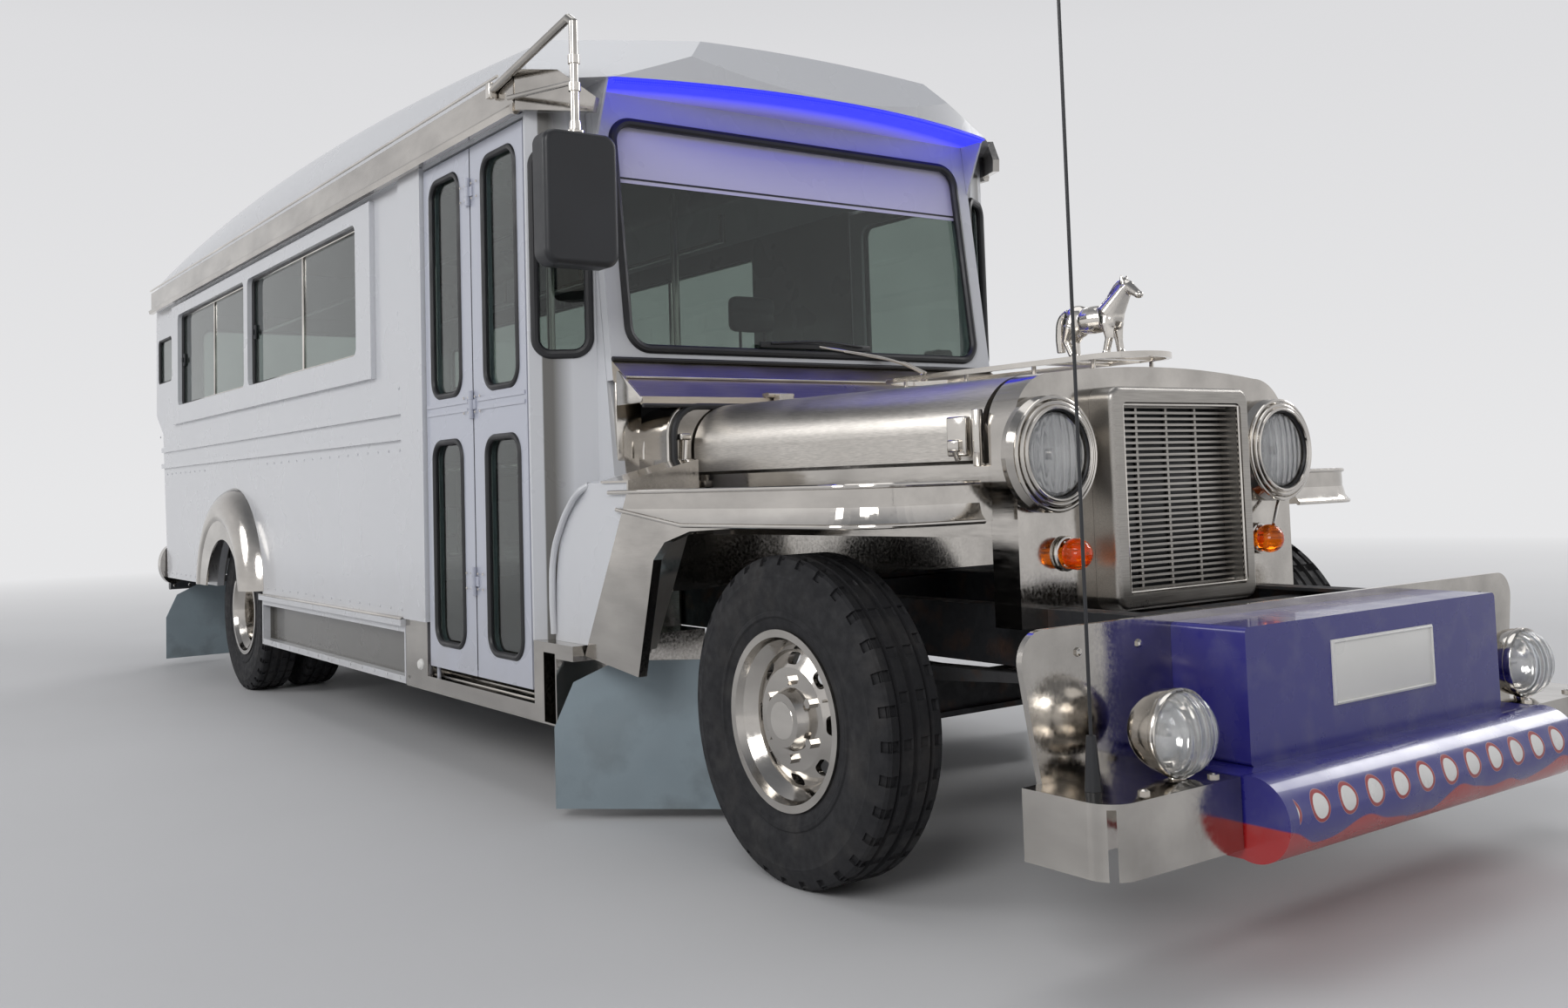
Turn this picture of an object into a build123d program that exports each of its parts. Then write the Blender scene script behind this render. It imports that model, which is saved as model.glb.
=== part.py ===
from build123d import *
import os
from math import atan2, cos, degrees, hypot, radians, sin

# Stretched jeepney with a side passenger door, in millimetres.
# X points forward, Y to the vehicle's left, Z up; the floor is Z = 0.

# Whole vehicle
LENGTH = 7630
WHEELBASE = 4563
FRONT_OVERHANG = 1142
BODY_WIDTH = 1936
DOOR_SETBACK = 1588
SEAT_GAP = 0.3
RUN_GAP = 0.05

# Body shell
WALL = 40
SKIN = 8
SILL_Z = 500
BELT_LOW_Z = 1165
BELT_HIGH_Z = 1260
WAIST_Z = 1400
EAVES_Z = 2120
REAR_CLEARANCE = 200
REAR_TUCK = 110
REAR_BULGE = 180
MOULDING = 14

# Roof
ROOF_OVERHANG = 12
ROOF_TAIL = 50
ROOF_RISE = 388
ROOF_DROP = 113
ROOF_CROWN = 42
ROOF_SHOULDER = 200
ROOF_WALL = 32
RAIL_HEIGHT = 130
RAIL_DEPTH = 24

# Visor over the windscreen
VISOR_BACK = 350
VISOR_CORNER_X = 640
VISOR_CORNER_Y = 830
VISOR_NOSE_X = 780
VISOR_TOP_X = 660
VISOR_TOP_Z = EAVES_Z + 252
VISOR_DROP = 92
VISOR_TOP_Y = 480
SOFFIT_Z = EAVES_Z + 80
CHEEK_DROP = 190

# Side windows, one surround holding two panes
SURROUND_REAR = 335
SURROUND_FRONT = 520
SURROUND_LOW_Z = WAIST_Z
SURROUND_HIGH_Z = EAVES_Z - 30
SURROUND_PROUD = 20
PANE_LOW_Z = WAIST_Z + 105
PANE_HIGH_Z = EAVES_Z - 90
PANE_MARGIN = 155
PANE_SET = 80
PANE_POST = 70
PANE_ROUND = 35
GLASS = 6
REAR_PANE_HEIGHT = 270
REAR_PANE_DROP = 90

# Passenger doorway, folding door of two leaves
DOORWAY = 820
DOOR_LOW_Z = 350
DOOR_GAP = 9
LEAF_WALL = 34
LEAF_PANE = 250
LEAF_PANE_OFFSET = 20
LEAF_UPPER_Z = (1285, EAVES_Z - 80)
LEAF_LOWER_Z = (435, 1125)
LEAF_RAIL_Z = 1240
LEAF_TRIM_END = 36
JAMB = 215
LINTEL_Z = EAVES_Z - 12
LINTEL_DEPTH = 78
LEAF_PIN_R = 7
LEAF_PIN_INSET = (10, 26)
KNUCKLE_Z = (660, 1240, EAVES_Z - 170)

# Driver's door on the left
DRIVER_DOOR = 760
DRIVER_DOOR_LOW_Z = 560
DRIVER_PANE_LOW_Z = 1330
DRIVER_HINGE_Z = (720, 1230)

# Cab front
CAB_CORNER_X = 430
SCREEN_X = 620
SCREEN_Y = 790
SCREEN_RAKE = 88
SCREEN_PANE_Y = 722
SCREEN_LOW_Z = 1372
SCREEN_HIGH_Z = EAVES_Z - 20
SCREEN_ROUND = 70
QUARTER_PANE = 165
QUARTER_LOW_Z = 1365
QUARTER_HIGH_Z = EAVES_Z - 120

# Nose
COWL_TOP_Z = 1335
COWL_LIP_Z = 1215
COWL_X = 800
COWL_Y = 700
COWL_LIP = 25
COWL_LOW_Z = 645
COWL_SHOULDER = 90
HOOD_REAR_Y = 620
HOOD_FRONT_Y = 520
HOOD_TOP_Z = 1190
HOOD_LOW_Z = 990
HOOD_SHOULDER = 130
HOOD_SKIN = 14
HOOD_CROWN = 22
HOOD_LEAN = 24
HOOD_HINGE_Y = (-300, 300)
HINGE_R = 9
PIN_R = 5
FASCIA_X = 2030
FASCIA_DEPTH = 85
FASCIA_LOW_Z = 600
GRILLE_Y = 227
GRILLE_LOW_Z = 660
GRILLE_HIGH_Z = 1118
GRILLE_FRAME = 38
GRILLE_PROUD = 70
GRILLE_PITCH = 14.7
GRILLE_BAR = 6
HEADLAMP_Y = 430
HEADLAMP_Z = 998
HEADLAMP_D = 200
HEADLAMP_RING = 30
MARKER_Y = 370
MARKER_Z = 765
MARKER_D = 74

# Front fenders
FENDER_Y = 930
FENDER_TOP_Z = 938
FENDER_BAND = 90
FENDER_REAR_X = 950
FENDER_FRONT_X = 1990
FENDER_CORNER = 125
FENDER_SKIN = 12
FENDER_INNER_Y = 560
ARCH_CURVE = ((1560, 0), (1270, -14), (1145, -44), (1085, -92))
APRON_DROP = 130
LEG_LOW_Z = 450
LEG_RUN = 280
LEG_WIDTH = 340
FAIRING_CURVE = ((484, 500), (498, 690), (551, 837), (616, 904), (684, 948), (770, 1020))
FAIRING_EDGE_Z = 966
KICK_BACK = 800

# Bumper
BUMPER_PLATE_X = 2400
BUMPER_PLATE = 14
BUMPER_TOP_Z = 656
BUMPER_LOW_Z = 215
BUMPER_TOP_Y = 926
BUMPER_LOW_Y = 845
SHELF_TOP_Z = 370
SHELF_LOW_Z = 235
SHELF_X = 2630
BOX_X = 2594
BOX_Y = 480
BOX_TOP_Z = 640
NOSE_Y = 560
NOSE_LOW_Z = 215
LAMP_Y = 655
LAMP_D = 170
ANTENNA_Y = 850
ANTENNA_TOP_Z = 2250

# Wheels, seven-inch tyres on sixteen-inch rims
TYRE_D = 778
TYRE_WIDTH = 190
RIM_D = 432
FRONT_TRACK = 1600
REAR_TRACK = 1720
TWIN_PITCH = 230
HUB_D = 150
SPINDLE_D = 60
KINGPIN_Y = 660
KINGPIN_D = 34
STEER_ANGLE = 30
ARCH_R = 450
ARCH_COVER_R = 540
ARCH_COVER_BACK = 85
ARCH_COVER_UP = 81
ARCH_COVER_PROUD = 80
ARCH_MOUTH_R = 345

# Seats
SEAT_TOP_Z = 1110
SEAT_PAD = 110
SEAT_BACK = 410
HEADREST = 170
BENCH_TOP_Z = 1150
BENCH_PAD = 90

# Chassis
RAIL_Y = 400
RAIL_WIDTH = 70
RAIL_LOW_Z = 500
RAIL_TOP_Z = 640
AXLE_D = 100
FLOOR = 40
SPRING_WIDTH = 60
SPRING_HALF = 480

# Entry step and running boards
STEP_TOP_Z = 310
STEP_LOW_Z = 258
STEP_DEPTH = 520
STEP_BOX_X = 570
SKIRT_LOW_Z = 262
BOARD_PROUD = 18

# Tail
TAIL_LAMP = (152, 234)
TAIL_LAMP_Y = 925
TAIL_LAMP_Z = 575
REAR_PANE_Y = 700

# Mirror
MIRROR_WIDTH = 235
MIRROR_HEIGHT = 385
MIRROR_DEPTH = 75
MIRROR_TOP_Z = EAVES_Z - 155
MIRROR_Y = BODY_WIDTH / 2 + 17
MIRROR_X = 800
TUBE_D = 26

# Stations along the vehicle
front_x = LENGTH / 2
rear_x = -LENGTH / 2
front_axle_x = front_x - FRONT_OVERHANG
rear_axle_x = front_axle_x - WHEELBASE
seam_x = front_axle_x - DOOR_SETBACK
side_y = BODY_WIDTH / 2
roof_half = side_y + ROOF_OVERHANG
inner_y = side_y - WALL
body_rear_x = rear_x + REAR_CLEARANCE
door_rear_x = seam_x - DOORWAY / 2
door_front_x = seam_x + DOORWAY / 2
axle_z = TYRE_D / 2
floor_z = RAIL_TOP_Z + FLOOR
parts = {}


def ahead(offset):
    """A station measured forward from the seam of the passenger door."""
    return seam_x + offset


def block(x, y, z):
    """A box between two corners, each axis given as (low, high)."""
    size = [b - a for a, b in (x, y, z)]
    middle = [(a + b) / 2 for a, b in (x, y, z)]
    return Pos(*middle) * Box(*size)


def rounded(x, y, z, radius, axis):
    """A box whose edges along one axis are rounded."""
    solid = block(x, y, z)
    return fillet(solid.edges().filter_by(axis), radius)


def plate_xz(points, y):
    """A plate between two Y values with the given X, Z outline."""
    outline = Wire.make_polygon([(px, y[0], pz) for px, pz in points], close=True)
    return extrude(Face(outline), amount=y[1] - y[0], dir=(0, 1, 0))


def plate_yz(points, x):
    """A plate between two X values with the given Y, Z outline."""
    outline = Wire.make_polygon([(x[0], py, pz) for py, pz in points], close=True)
    return extrude(Face(outline), amount=x[1] - x[0], dir=(1, 0, 0))


def plate_xy(points, z):
    """A plate between two Z values with the given X, Y outline."""
    outline = Wire.make_polygon([(px, py, z[0]) for px, py in points], close=True)
    return extrude(Face(outline), amount=z[1] - z[0], dir=(0, 0, 1))


def rod(start, end, diameter):
    """A round bar from one point to another."""
    a, b = Vector(*start), Vector(*end)
    return Plane(origin=a, z_dir=b - a) * Cylinder(
        diameter / 2, (b - a).length, align=(Align.CENTER, Align.CENTER, Align.MIN)
    )


def turned(points, centre, axis_out=1):
    """A solid turned about the Y axis through centre, outline given as (radius, outward)."""
    cx, cy, cz = centre
    outline = Wire.make_polygon([(r, 0, w) for r, w in points], close=True)
    solid = revolve(Face(outline), Axis.Z, 360)
    return Pos(cx, cy, cz) * Rot(X=-90 * axis_out) * solid


def both_sides(shape):
    """The shape and its mirror image across the middle of the vehicle."""
    return [shape, mirror(shape, about=Plane.XZ)]


def add(name, *shapes):
    """Keep the solids of one named piece."""
    parts[name] = [solid for shape in shapes for solid in shape.solids()]


def roof_rise(x):
    """Height of the roof's shoulder over the eaves, an arch along the vehicle."""
    back, front = rear_x + ROOF_TAIL, ahead(VISOR_BACK)
    middle, half = (back + front) / 2, (front - back) / 2
    return ROOF_RISE - ROOF_DROP * ((x - middle) / half) ** 2


def roof_section(x, inset, low_z, drop=0):
    """Cross-section of the roof at a station, drawn inset from its outside."""
    half = roof_half - inset
    radius = ROOF_SHOULDER - inset
    top = EAVES_Z + roof_rise(min(x, ahead(VISOR_BACK))) - inset - drop
    start = top - radius
    near = radius * (1 - cos(radians(45)))
    low = [Line((x, half, low_z), (x, half, start))]
    left = ThreePointArc(
        (x, half, start), (x, half - near, top - near), (x, half - radius, top)
    )
    crown = ThreePointArc(
        (x, half - radius, top), (x, 0, top + ROOF_CROWN), (x, radius - half, top)
    )
    right = ThreePointArc(
        (x, radius - half, top), (x, near - half, top - near), (x, -half, start)
    )
    close = [Line((x, -half, start), (x, -half, low_z)), Line((x, -half, low_z), (x, half, low_z))]
    return Face(Wire(low + [left, crown, right] + close))


def roof():
    """Arched roof shell, closed at the tail and open at the visor."""
    back, front = rear_x + ROOF_TAIL, ahead(VISOR_BACK)
    middle = (back + front) / 2
    outer = loft([roof_section(x, 0, EAVES_Z) for x in (back, middle, front)])
    inner = loft(
        [
            roof_section(x, ROOF_WALL, EAVES_Z - 1)
            for x in (back + ROOF_WALL, middle, front + 1)
        ]
    )
    return outer - inner


def shoulder_cutter():
    """Half space past the visor's sloping shoulder, on the left."""
    half, radius = roof_half, ROOF_SHOULDER
    top = EAVES_Z + roof_rise(ahead(VISOR_BACK))
    near = radius * (1 - cos(radians(45)))
    a = Vector(ahead(VISOR_BACK), half - near + 5, top - near + 5)
    b = Vector(ahead(VISOR_CORNER_X), VISOR_CORNER_Y - 10, SOFFIT_Z - 10)
    c = Vector(ahead(VISOR_TOP_X), VISOR_TOP_Y, VISOR_TOP_Z - 14)
    normal = (c - a).cross(b - a)
    if normal.Z < 0:
        normal = normal * -1
    return Plane(origin=a, z_dir=normal) * Box(
        3000, 3000, 600, align=(Align.CENTER, Align.CENTER, Align.MIN)
    )


def visor():
    """Faceted peak over the windscreen, a closed housing with drooping cheeks."""
    back, corner = ahead(VISOR_BACK), ahead(VISOR_CORNER_X)
    half = roof_half
    bend = ahead(CAB_CORNER_X)
    edge = [
        Line((back, half, EAVES_Z), (bend, half, EAVES_Z)),
        Line((bend, half, EAVES_Z), (corner, VISOR_CORNER_Y, EAVES_Z)),
        ThreePointArc(
            (corner, VISOR_CORNER_Y, EAVES_Z),
            (ahead(VISOR_NOSE_X), 0, EAVES_Z),
            (corner, -VISOR_CORNER_Y, EAVES_Z),
        ),
        Line((corner, -VISOR_CORNER_Y, EAVES_Z), (bend, -half, EAVES_Z)),
        Line((bend, -half, EAVES_Z), (back, -half, EAVES_Z)),
        Line((back, -half, EAVES_Z), (back, half, EAVES_Z)),
    ]
    plan = extrude(Face(Wire(edge)), amount=600, dir=(0, 0, 1))
    lip = ahead(CAB_CORNER_X) - WALL
    nose = ahead(VISOR_NOSE_X) + 1
    brow = ahead(VISOR_TOP_X)
    height = VISOR_TOP_Z - SOFFIT_Z
    side = plate_xz(
        [
            (back, EAVES_Z), (lip, EAVES_Z), (lip, SOFFIT_Z), (nose, SOFFIT_Z),
            (2 * brow - nose, SOFFIT_Z + 2 * height), (back, SOFFIT_Z + 2 * height),
        ],
        (-half, half),
    )
    rounding = loft(
        [
            roof_section(back, 0, EAVES_Z - VISOR_DROP),
            roof_section(ahead(VISOR_NOSE_X) + 10, 0, EAVES_Z - VISOR_DROP, VISOR_DROP),
        ]
    )
    cutter = shoulder_cutter()
    peak = (plan & side & rounding) - cutter - mirror(cutter, about=Plane.XZ)
    screen_top = screen_at(SOFFIT_Z)
    cheek = plate_xz(
        [
            (screen_top + 2, SOFFIT_Z),
            (corner - 6, SOFFIT_Z),
            (screen_at(SOFFIT_Z - CHEEK_DROP) + 2, SOFFIT_Z - CHEEK_DROP),
        ],
        (SCREEN_Y - SKIN, SCREEN_Y),
    )
    for shape in both_sides(cheek):
        peak = peak + shape
    return peak


def screen_at(z):
    """Station of the raked front face of the cab at a height."""
    run = SCREEN_RAKE * (z - SCREEN_LOW_Z) / (SCREEN_HIGH_Z - SCREEN_LOW_Z)
    return ahead(SCREEN_X) - run


def drip_rail():
    """Polished gutter along the eaves with its end turned down beside the visor."""
    half = roof_half
    top, depth = EAVES_Z + RAIL_HEIGHT, RAIL_DEPTH
    section = [
        (half, EAVES_Z),
        (half + depth - 10, EAVES_Z - 12),
        (half + depth + 10, EAVES_Z - 12),
        (half + depth + 16, EAVES_Z + 8),
        (half + depth, EAVES_Z + 24),
        (half + depth, top - 12),
        (half, top),
    ]
    bend = ahead(CAB_CORNER_X)
    straight = plate_yz(section, (rear_x + ROOF_TAIL, bend))
    run = Vector(VISOR_CORNER_X - CAB_CORNER_X, VISOR_CORNER_Y - half, 0)
    along = run.normalized()
    side = Vector(-along.Y, along.X, 0)
    corner = Vector(bend, half, 0)
    outline = [
        (-6, EAVES_Z),
        (run.length, EAVES_Z - 36),
        (run.length + 12, EAVES_Z + 6),
        (run.length * 0.55, top - 24),
        (-6, top - 4),
    ]
    face = Face(
        Wire.make_polygon([tuple(corner + along * s + Vector(0, 0, z)) for s, z in outline], close=True)
    )
    turned_end = extrude(face, amount=depth, dir=tuple(side))
    return straight + turned_end


def rear_profile(inset):
    """X, Z points down the raked tail, from the eaves to the sill."""
    upper = body_rear_x - REAR_BULGE + inset
    belt = body_rear_x + inset
    return [
        (upper, EAVES_Z),
        (upper, SURROUND_LOW_Z + 80),
        (belt, SURROUND_LOW_Z - 40),
        (belt + REAR_TUCK, SILL_Z),
    ]


def pane_spans():
    """Start and end of each pane in the side surround."""
    back = body_rear_x + SURROUND_REAR + PANE_MARGIN
    front = door_rear_x - SURROUND_FRONT - PANE_MARGIN - 15
    middle = (back + front) / 2 - PANE_SET
    return [(back, middle - PANE_POST / 2), (middle + PANE_POST / 2, front)]


def rear_pane_span():
    """Start and end of the small pane at the tail of the side."""
    back = body_rear_x - REAR_BULGE + 50
    return (back, body_rear_x + SURROUND_REAR - 95)


def rear_pane_heights():
    """Lowest and highest point of the small pane's opening."""
    high = PANE_HIGH_Z - REAR_PANE_DROP
    return (high - REAR_PANE_HEIGHT, high)


def side_wall(front):
    """Right-hand side panel from the tail to the given front end, seen as +Y before mirroring."""
    outline = rear_profile(0) + [(front, SILL_Z), (front, EAVES_Z)]
    wall = plate_xz(outline, (inner_y, side_y))
    surround_x = (body_rear_x + SURROUND_REAR, door_rear_x - SURROUND_FRONT)
    wall = wall + block(
        surround_x, (side_y - 1, side_y + SURROUND_PROUD), (SURROUND_LOW_Z, SURROUND_HIGH_Z)
    )
    for level in (BELT_HIGH_Z, BELT_LOW_Z):
        wall = wall + plate_xz(
            [
                (body_rear_x + 20, level - MOULDING),
                (body_rear_x + 10, level + MOULDING),
                (front - JAMB, level + MOULDING),
                (front - JAMB, level - MOULDING),
            ],
            (side_y - 1, side_y + MOULDING),
        )
    wall = wall + block(
        (front - JAMB, front), (side_y - 1, side_y + MOULDING), (SILL_Z, EAVES_Z - 4)
    )
    through = (inner_y - 1, side_y + SURROUND_PROUD + 1)
    for span in pane_spans():
        wall = wall - rounded(span, through, (PANE_LOW_Z, PANE_HIGH_Z), PANE_ROUND, Axis.Y)
    wall = wall - rounded(rear_pane_span(), through, rear_pane_heights(), PANE_ROUND, Axis.Y)
    arch = Pos(rear_axle_x, side_y, axle_z) * Rot(X=90) * Cylinder(ARCH_R, 4 * WALL)
    return wall - arch


def side_panes():
    """Glass of one side, each pane 0.3 mm clear of its opening."""
    middle = side_y - WALL / 2
    y = (middle - GLASS / 2, middle + GLASS / 2)
    panes = []
    low, high = PANE_LOW_Z + SEAT_GAP, PANE_HIGH_Z - SEAT_GAP
    for back, front in pane_spans():
        x = (back + SEAT_GAP, front - SEAT_GAP)
        panes.append(rounded(x, y, (low, high), PANE_ROUND, Axis.Y))
    back, front = rear_pane_span()
    x = (back + SEAT_GAP, front - SEAT_GAP)
    low, high = rear_pane_heights()
    panes.append(rounded(x, y, (low + SEAT_GAP, high - SEAT_GAP), PANE_ROUND, Axis.Y))
    return panes


def rear_wall():
    """Tail panel between the side walls with one wide window."""
    outer, inner = rear_profile(0), rear_profile(WALL)
    wall = plate_xz(outer + inner[::-1], (-inner_y, inner_y))
    x = (body_rear_x - REAR_BULGE - 10, body_rear_x - REAR_BULGE + WALL + 10)
    hole = rounded(x, (-REAR_PANE_Y, REAR_PANE_Y), (PANE_LOW_Z + 60, PANE_HIGH_Z), 60, Axis.X)
    return wall - hole


def rear_pane():
    """Glass of the tail window."""
    middle = body_rear_x - REAR_BULGE + WALL / 2
    half = REAR_PANE_Y - SEAT_GAP
    return rounded(
        (middle - GLASS / 2, middle + GLASS / 2),
        (-half, half),
        (PANE_LOW_Z + 60 + SEAT_GAP, PANE_HIGH_Z - SEAT_GAP),
        60 - SEAT_GAP,
        Axis.X,
    )


def corner_frame():
    """Origin, direction and length of the canted cab corner, seen from above on the left."""
    start = Vector(ahead(CAB_CORNER_X), side_y, 0)
    end = Vector(ahead(SCREEN_X) - SCREEN_RAKE, SCREEN_Y, 0)
    run = end - start
    return start, run.normalized(), run.length


def corner_inner_x(y):
    """Station on the inner face of the canted corner at a distance from the middle."""
    start, along, length = corner_frame()
    on_face = start + Vector(along.Y, -along.X, 0) * WALL
    return on_face.X + along.X * (y - on_face.Y) / along.Y


def corner_inner_y(x):
    """Distance from the middle of the canted corner's inner face at a station."""
    start, along, length = corner_frame()
    on_face = start + Vector(along.Y, -along.X, 0) * WALL
    return on_face.Y + along.Y * (x - on_face.X) / along.X


def quarter_block(wall, margin):
    """Box through the canted corner where its pane goes, wall thick, shrunk by margin."""
    start, along, length = corner_frame()
    centre = start + along * (length / 2)
    inward = Vector(along.Y, -along.X, 0)
    centre = centre + inward * (WALL / 2)
    middle = (QUARTER_LOW_Z + QUARTER_HIGH_Z) / 2
    height = QUARTER_HIGH_Z - QUARTER_LOW_Z - 2 * margin
    angle = degrees(atan2(along.Y, along.X))
    pane = Box(QUARTER_PANE - 2 * margin, wall, height)
    pane = fillet(pane.edges().filter_by(Axis.Y), QUARTER_PANE * 0.3)
    return Pos(centre.X, centre.Y, middle) * Rot(Z=angle) * pane


def cab_side():
    """Canted corner panel from the doorway to the windscreen with the white fairing below it."""
    start, along, length = corner_frame()
    end = start + along * length
    nose = ahead(SCREEN_X) + 40
    edge = door_front_x + DOOR_GAP
    plan = [
        (edge, side_y),
        (start.X, start.Y),
        (end.X, end.Y),
        (nose, end.Y),
        (nose, end.Y - WALL),
        (corner_inner_x(end.Y - WALL), end.Y - WALL),
        (edge, corner_inner_y(edge)),
    ]
    panel = plate_xy(plan, (SILL_Z, SOFFIT_Z - SEAT_GAP))
    rake = plate_xz(
        [
            (screen_at(SILL_Z) - WALL, SILL_Z - 1),
            (screen_at(SOFFIT_Z + 1) - WALL, SOFFIT_Z + 1),
            (nose + 300, SOFFIT_Z + 1),
            (nose + 300, SILL_Z - 1),
        ],
        (0, side_y + 1),
    )
    panel = panel - rake - quarter_block(4 * WALL, 0)
    return panel + fairing()


def leg_line(z):
    """Station of the fender leg's rear edge at a height."""
    share = (FENDER_TOP_Z - z) / (FENDER_TOP_Z - LEG_LOW_Z)
    return ahead(FENDER_REAR_X) - LEG_RUN * share


def fairing():
    """White filler between the cab corner and the fender leg, its top sloping down outwards."""
    y0, y1 = COWL_Y + SEAT_GAP, FENDER_Y - 6
    curve = [(ahead(x), y0, z) for x, z in FAIRING_CURVE]
    top = FAIRING_CURVE[-1][1]
    front = leg_line(FENDER_TOP_Z) - SEAT_GAP
    foot = (leg_line(SILL_Z) - SEAT_GAP, y0, SILL_Z)
    knee = (front, y0, FENDER_TOP_Z)
    outline = Wire(
        [
            Spline(*curve),
            Line(curve[-1], (front, y0, top)),
            Line((front, y0, top), knee),
            Line(knee, foot),
            Line(foot, curve[0]),
        ]
    )
    above = plate_yz(
        [(y0 - 1, top), (y1 + 1, FAIRING_EDGE_Z), (y1 + 1, top + 50), (y0 - 1, top + 50)],
        (curve[0][0] - 1, front + 1),
    )
    low, high = y0 - 1, y1 + 1
    cabin = plate_xy(
        [
            (corner_inner_x(high) - 500, low), (corner_inner_x(low), low), (corner_inner_x(high), high),
            (corner_inner_x(high) - 500, high),
        ],
        (SILL_Z - 1, top + 1),
    )
    return extrude(Face(outline), amount=y1 - y0, dir=(0, 1, 0)) - above - cabin


def screen_frame():
    """Raked frame round the windscreen, from the cowl to the soffit."""
    low = COWL_TOP_Z - 60
    half = SCREEN_Y - SEAT_GAP
    frame = plate_xz(
        [
            (screen_at(low), low),
            (screen_at(SOFFIT_Z), SOFFIT_Z - SEAT_GAP),
            (screen_at(SOFFIT_Z) - WALL + 2, SOFFIT_Z - SEAT_GAP),
            (screen_at(low) - WALL + 2, low),
        ],
        (-half, half),
    )
    return frame - screen_block(4 * WALL, 0)


def screen_block(wall, margin):
    """Raked block that fills the windscreen opening, shrunk by margin."""
    tilt = degrees(atan2(SCREEN_RAKE, SCREEN_HIGH_Z - SCREEN_LOW_Z))
    middle = (SCREEN_LOW_Z + SCREEN_HIGH_Z) / 2
    height = hypot(SCREEN_RAKE, SCREEN_HIGH_Z - SCREEN_LOW_Z) - 2 * margin
    pane = Box(wall, 2 * (SCREEN_PANE_Y - margin), height)
    pane = fillet(pane.edges().filter_by(Axis.X), SCREEN_ROUND - margin)
    return Pos(screen_at(middle) - WALL / 2, 0, middle) * Rot(Y=-tilt) * pane


def cowl_back():
    """Station of the firewall's rear face."""
    return screen_at(COWL_LIP_Z) - WALL


def scuttle():
    """Sloped panel under the windscreen with the fixed halves of the hood's hinges."""
    low = COWL_TOP_Z - 62
    base = screen_at(low) + SEAT_GAP
    shell = plate_xz(
        [
            (screen_at(COWL_TOP_Z) + SEAT_GAP, COWL_TOP_Z), (ahead(COWL_X), COWL_LIP_Z),
            (ahead(COWL_X), COWL_LIP_Z - COWL_LIP), (base, low),
        ],
        (-SCREEN_Y, SCREEN_Y),
    )
    pin_x, pin_z = hood_pin()
    for y in HOOD_HINGE_Y:
        for span in ((-48, -26.5), (26.5, 48)):
            shell = shell + hood_hinge(y, span, -1)
        shell = shell + rod((pin_x, y - 40, pin_z), (pin_x, y + 40, pin_z), 2 * PIN_R)
    return shell


def cowl():
    """Firewall and the polished box behind the hood, open underneath."""
    back, wall = cowl_back(), 30
    top = COWL_LIP_Z - COWL_LIP - SEAT_GAP
    box = box_section(back, COWL_Y, top, COWL_SHOULDER, ahead(COWL_X) - back)
    inner = box_section(
        back + wall, COWL_Y - wall, top - wall, COWL_SHOULDER - wall, ahead(COWL_X) - back - 2 * wall
    )
    rise = plate_xz(
        [
            (back, top - 60), (back, COWL_TOP_Z - 62), (screen_at(COWL_TOP_Z - 62), COWL_TOP_Z - 62),
            (screen_at(top), top - 1), (screen_at(top), top - 60),
        ],
        (-COWL_Y + COWL_SHOULDER, COWL_Y - COWL_SHOULDER),
    )
    return (box - inner) + rise


def box_section(x, half, top, radius, depth):
    """Block with two rounded top corners, run forward from a station."""
    low, near = COWL_LOW_Z, radius * (1 - cos(radians(45)))
    section = Wire(
        [
            Line((x, half, low), (x, half, top - radius)),
            ThreePointArc(
                (x, half, top - radius), (x, half - near, top - near), (x, half - radius, top)
            ),
            Line((x, half - radius, top), (x, radius - half, top)),
            ThreePointArc(
                (x, radius - half, top), (x, near - half, top - near), (x, -half, top - radius)
            ),
            Line((x, -half, top - radius), (x, -half, low)),
            Line((x, -half, low), (x, half, low)),
        ]
    )
    return extrude(Face(section), amount=depth, dir=(1, 0, 0))


def nose_section(x, half, top, low, inset):
    """Arched cross-section shared by the hood and the fascia."""
    half, top = half - inset, top - inset
    radius = HOOD_SHOULDER - inset
    near = radius * (1 - cos(radians(45)))
    crown = HOOD_CROWN
    return Face(
        Wire(
            [
                Line((x, half, low), (x, half, top - radius)),
                ThreePointArc(
                    (x, half, top - radius), (x, half - near, top - near), (x, half - radius, top)
                ),
                ThreePointArc((x, half - radius, top), (x, 0, top + crown), (x, radius - half, top)),
                ThreePointArc(
                    (x, radius - half, top), (x, near - half, top - near), (x, -half, top - radius)
                ),
                Line((x, -half, top - radius), (x, -half, low)),
                Line((x, -half, low), (x, half, low)),
            ]
        )
    )


def hood():
    """Brushed hood, an open shell that narrows forward."""
    back = ahead(COWL_X) + DOOR_GAP
    front = ahead(FASCIA_X - FASCIA_DEPTH) - DOOR_GAP
    outer = loft(
        [
            nose_section(back, HOOD_REAR_Y, HOOD_TOP_Z, HOOD_LOW_Z, 0),
            nose_section(front, HOOD_FRONT_Y, HOOD_TOP_Z, HOOD_LOW_Z, 0),
        ]
    )
    inner = loft(
        [
            nose_section(back - 1, HOOD_REAR_Y, HOOD_TOP_Z, HOOD_LOW_Z - 1, HOOD_SKIN),
            nose_section(front + 1, HOOD_FRONT_Y, HOOD_TOP_Z, HOOD_LOW_Z - 1, HOOD_SKIN),
        ]
    )
    lean = plate_xz(
        [
            (front, HOOD_TOP_Z), (front - HOOD_LEAN, HOOD_LOW_Z - 1), (front + 2, HOOD_LOW_Z - 1),
            (front + 2, HOOD_TOP_Z),
        ],
        (-HOOD_REAR_Y, HOOD_REAR_Y),
    )
    shell = outer - inner - lean
    for y in HOOD_HINGE_Y:
        shell = shell + hood_hinge(y, (-26, 26), 1)
    return shell


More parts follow.
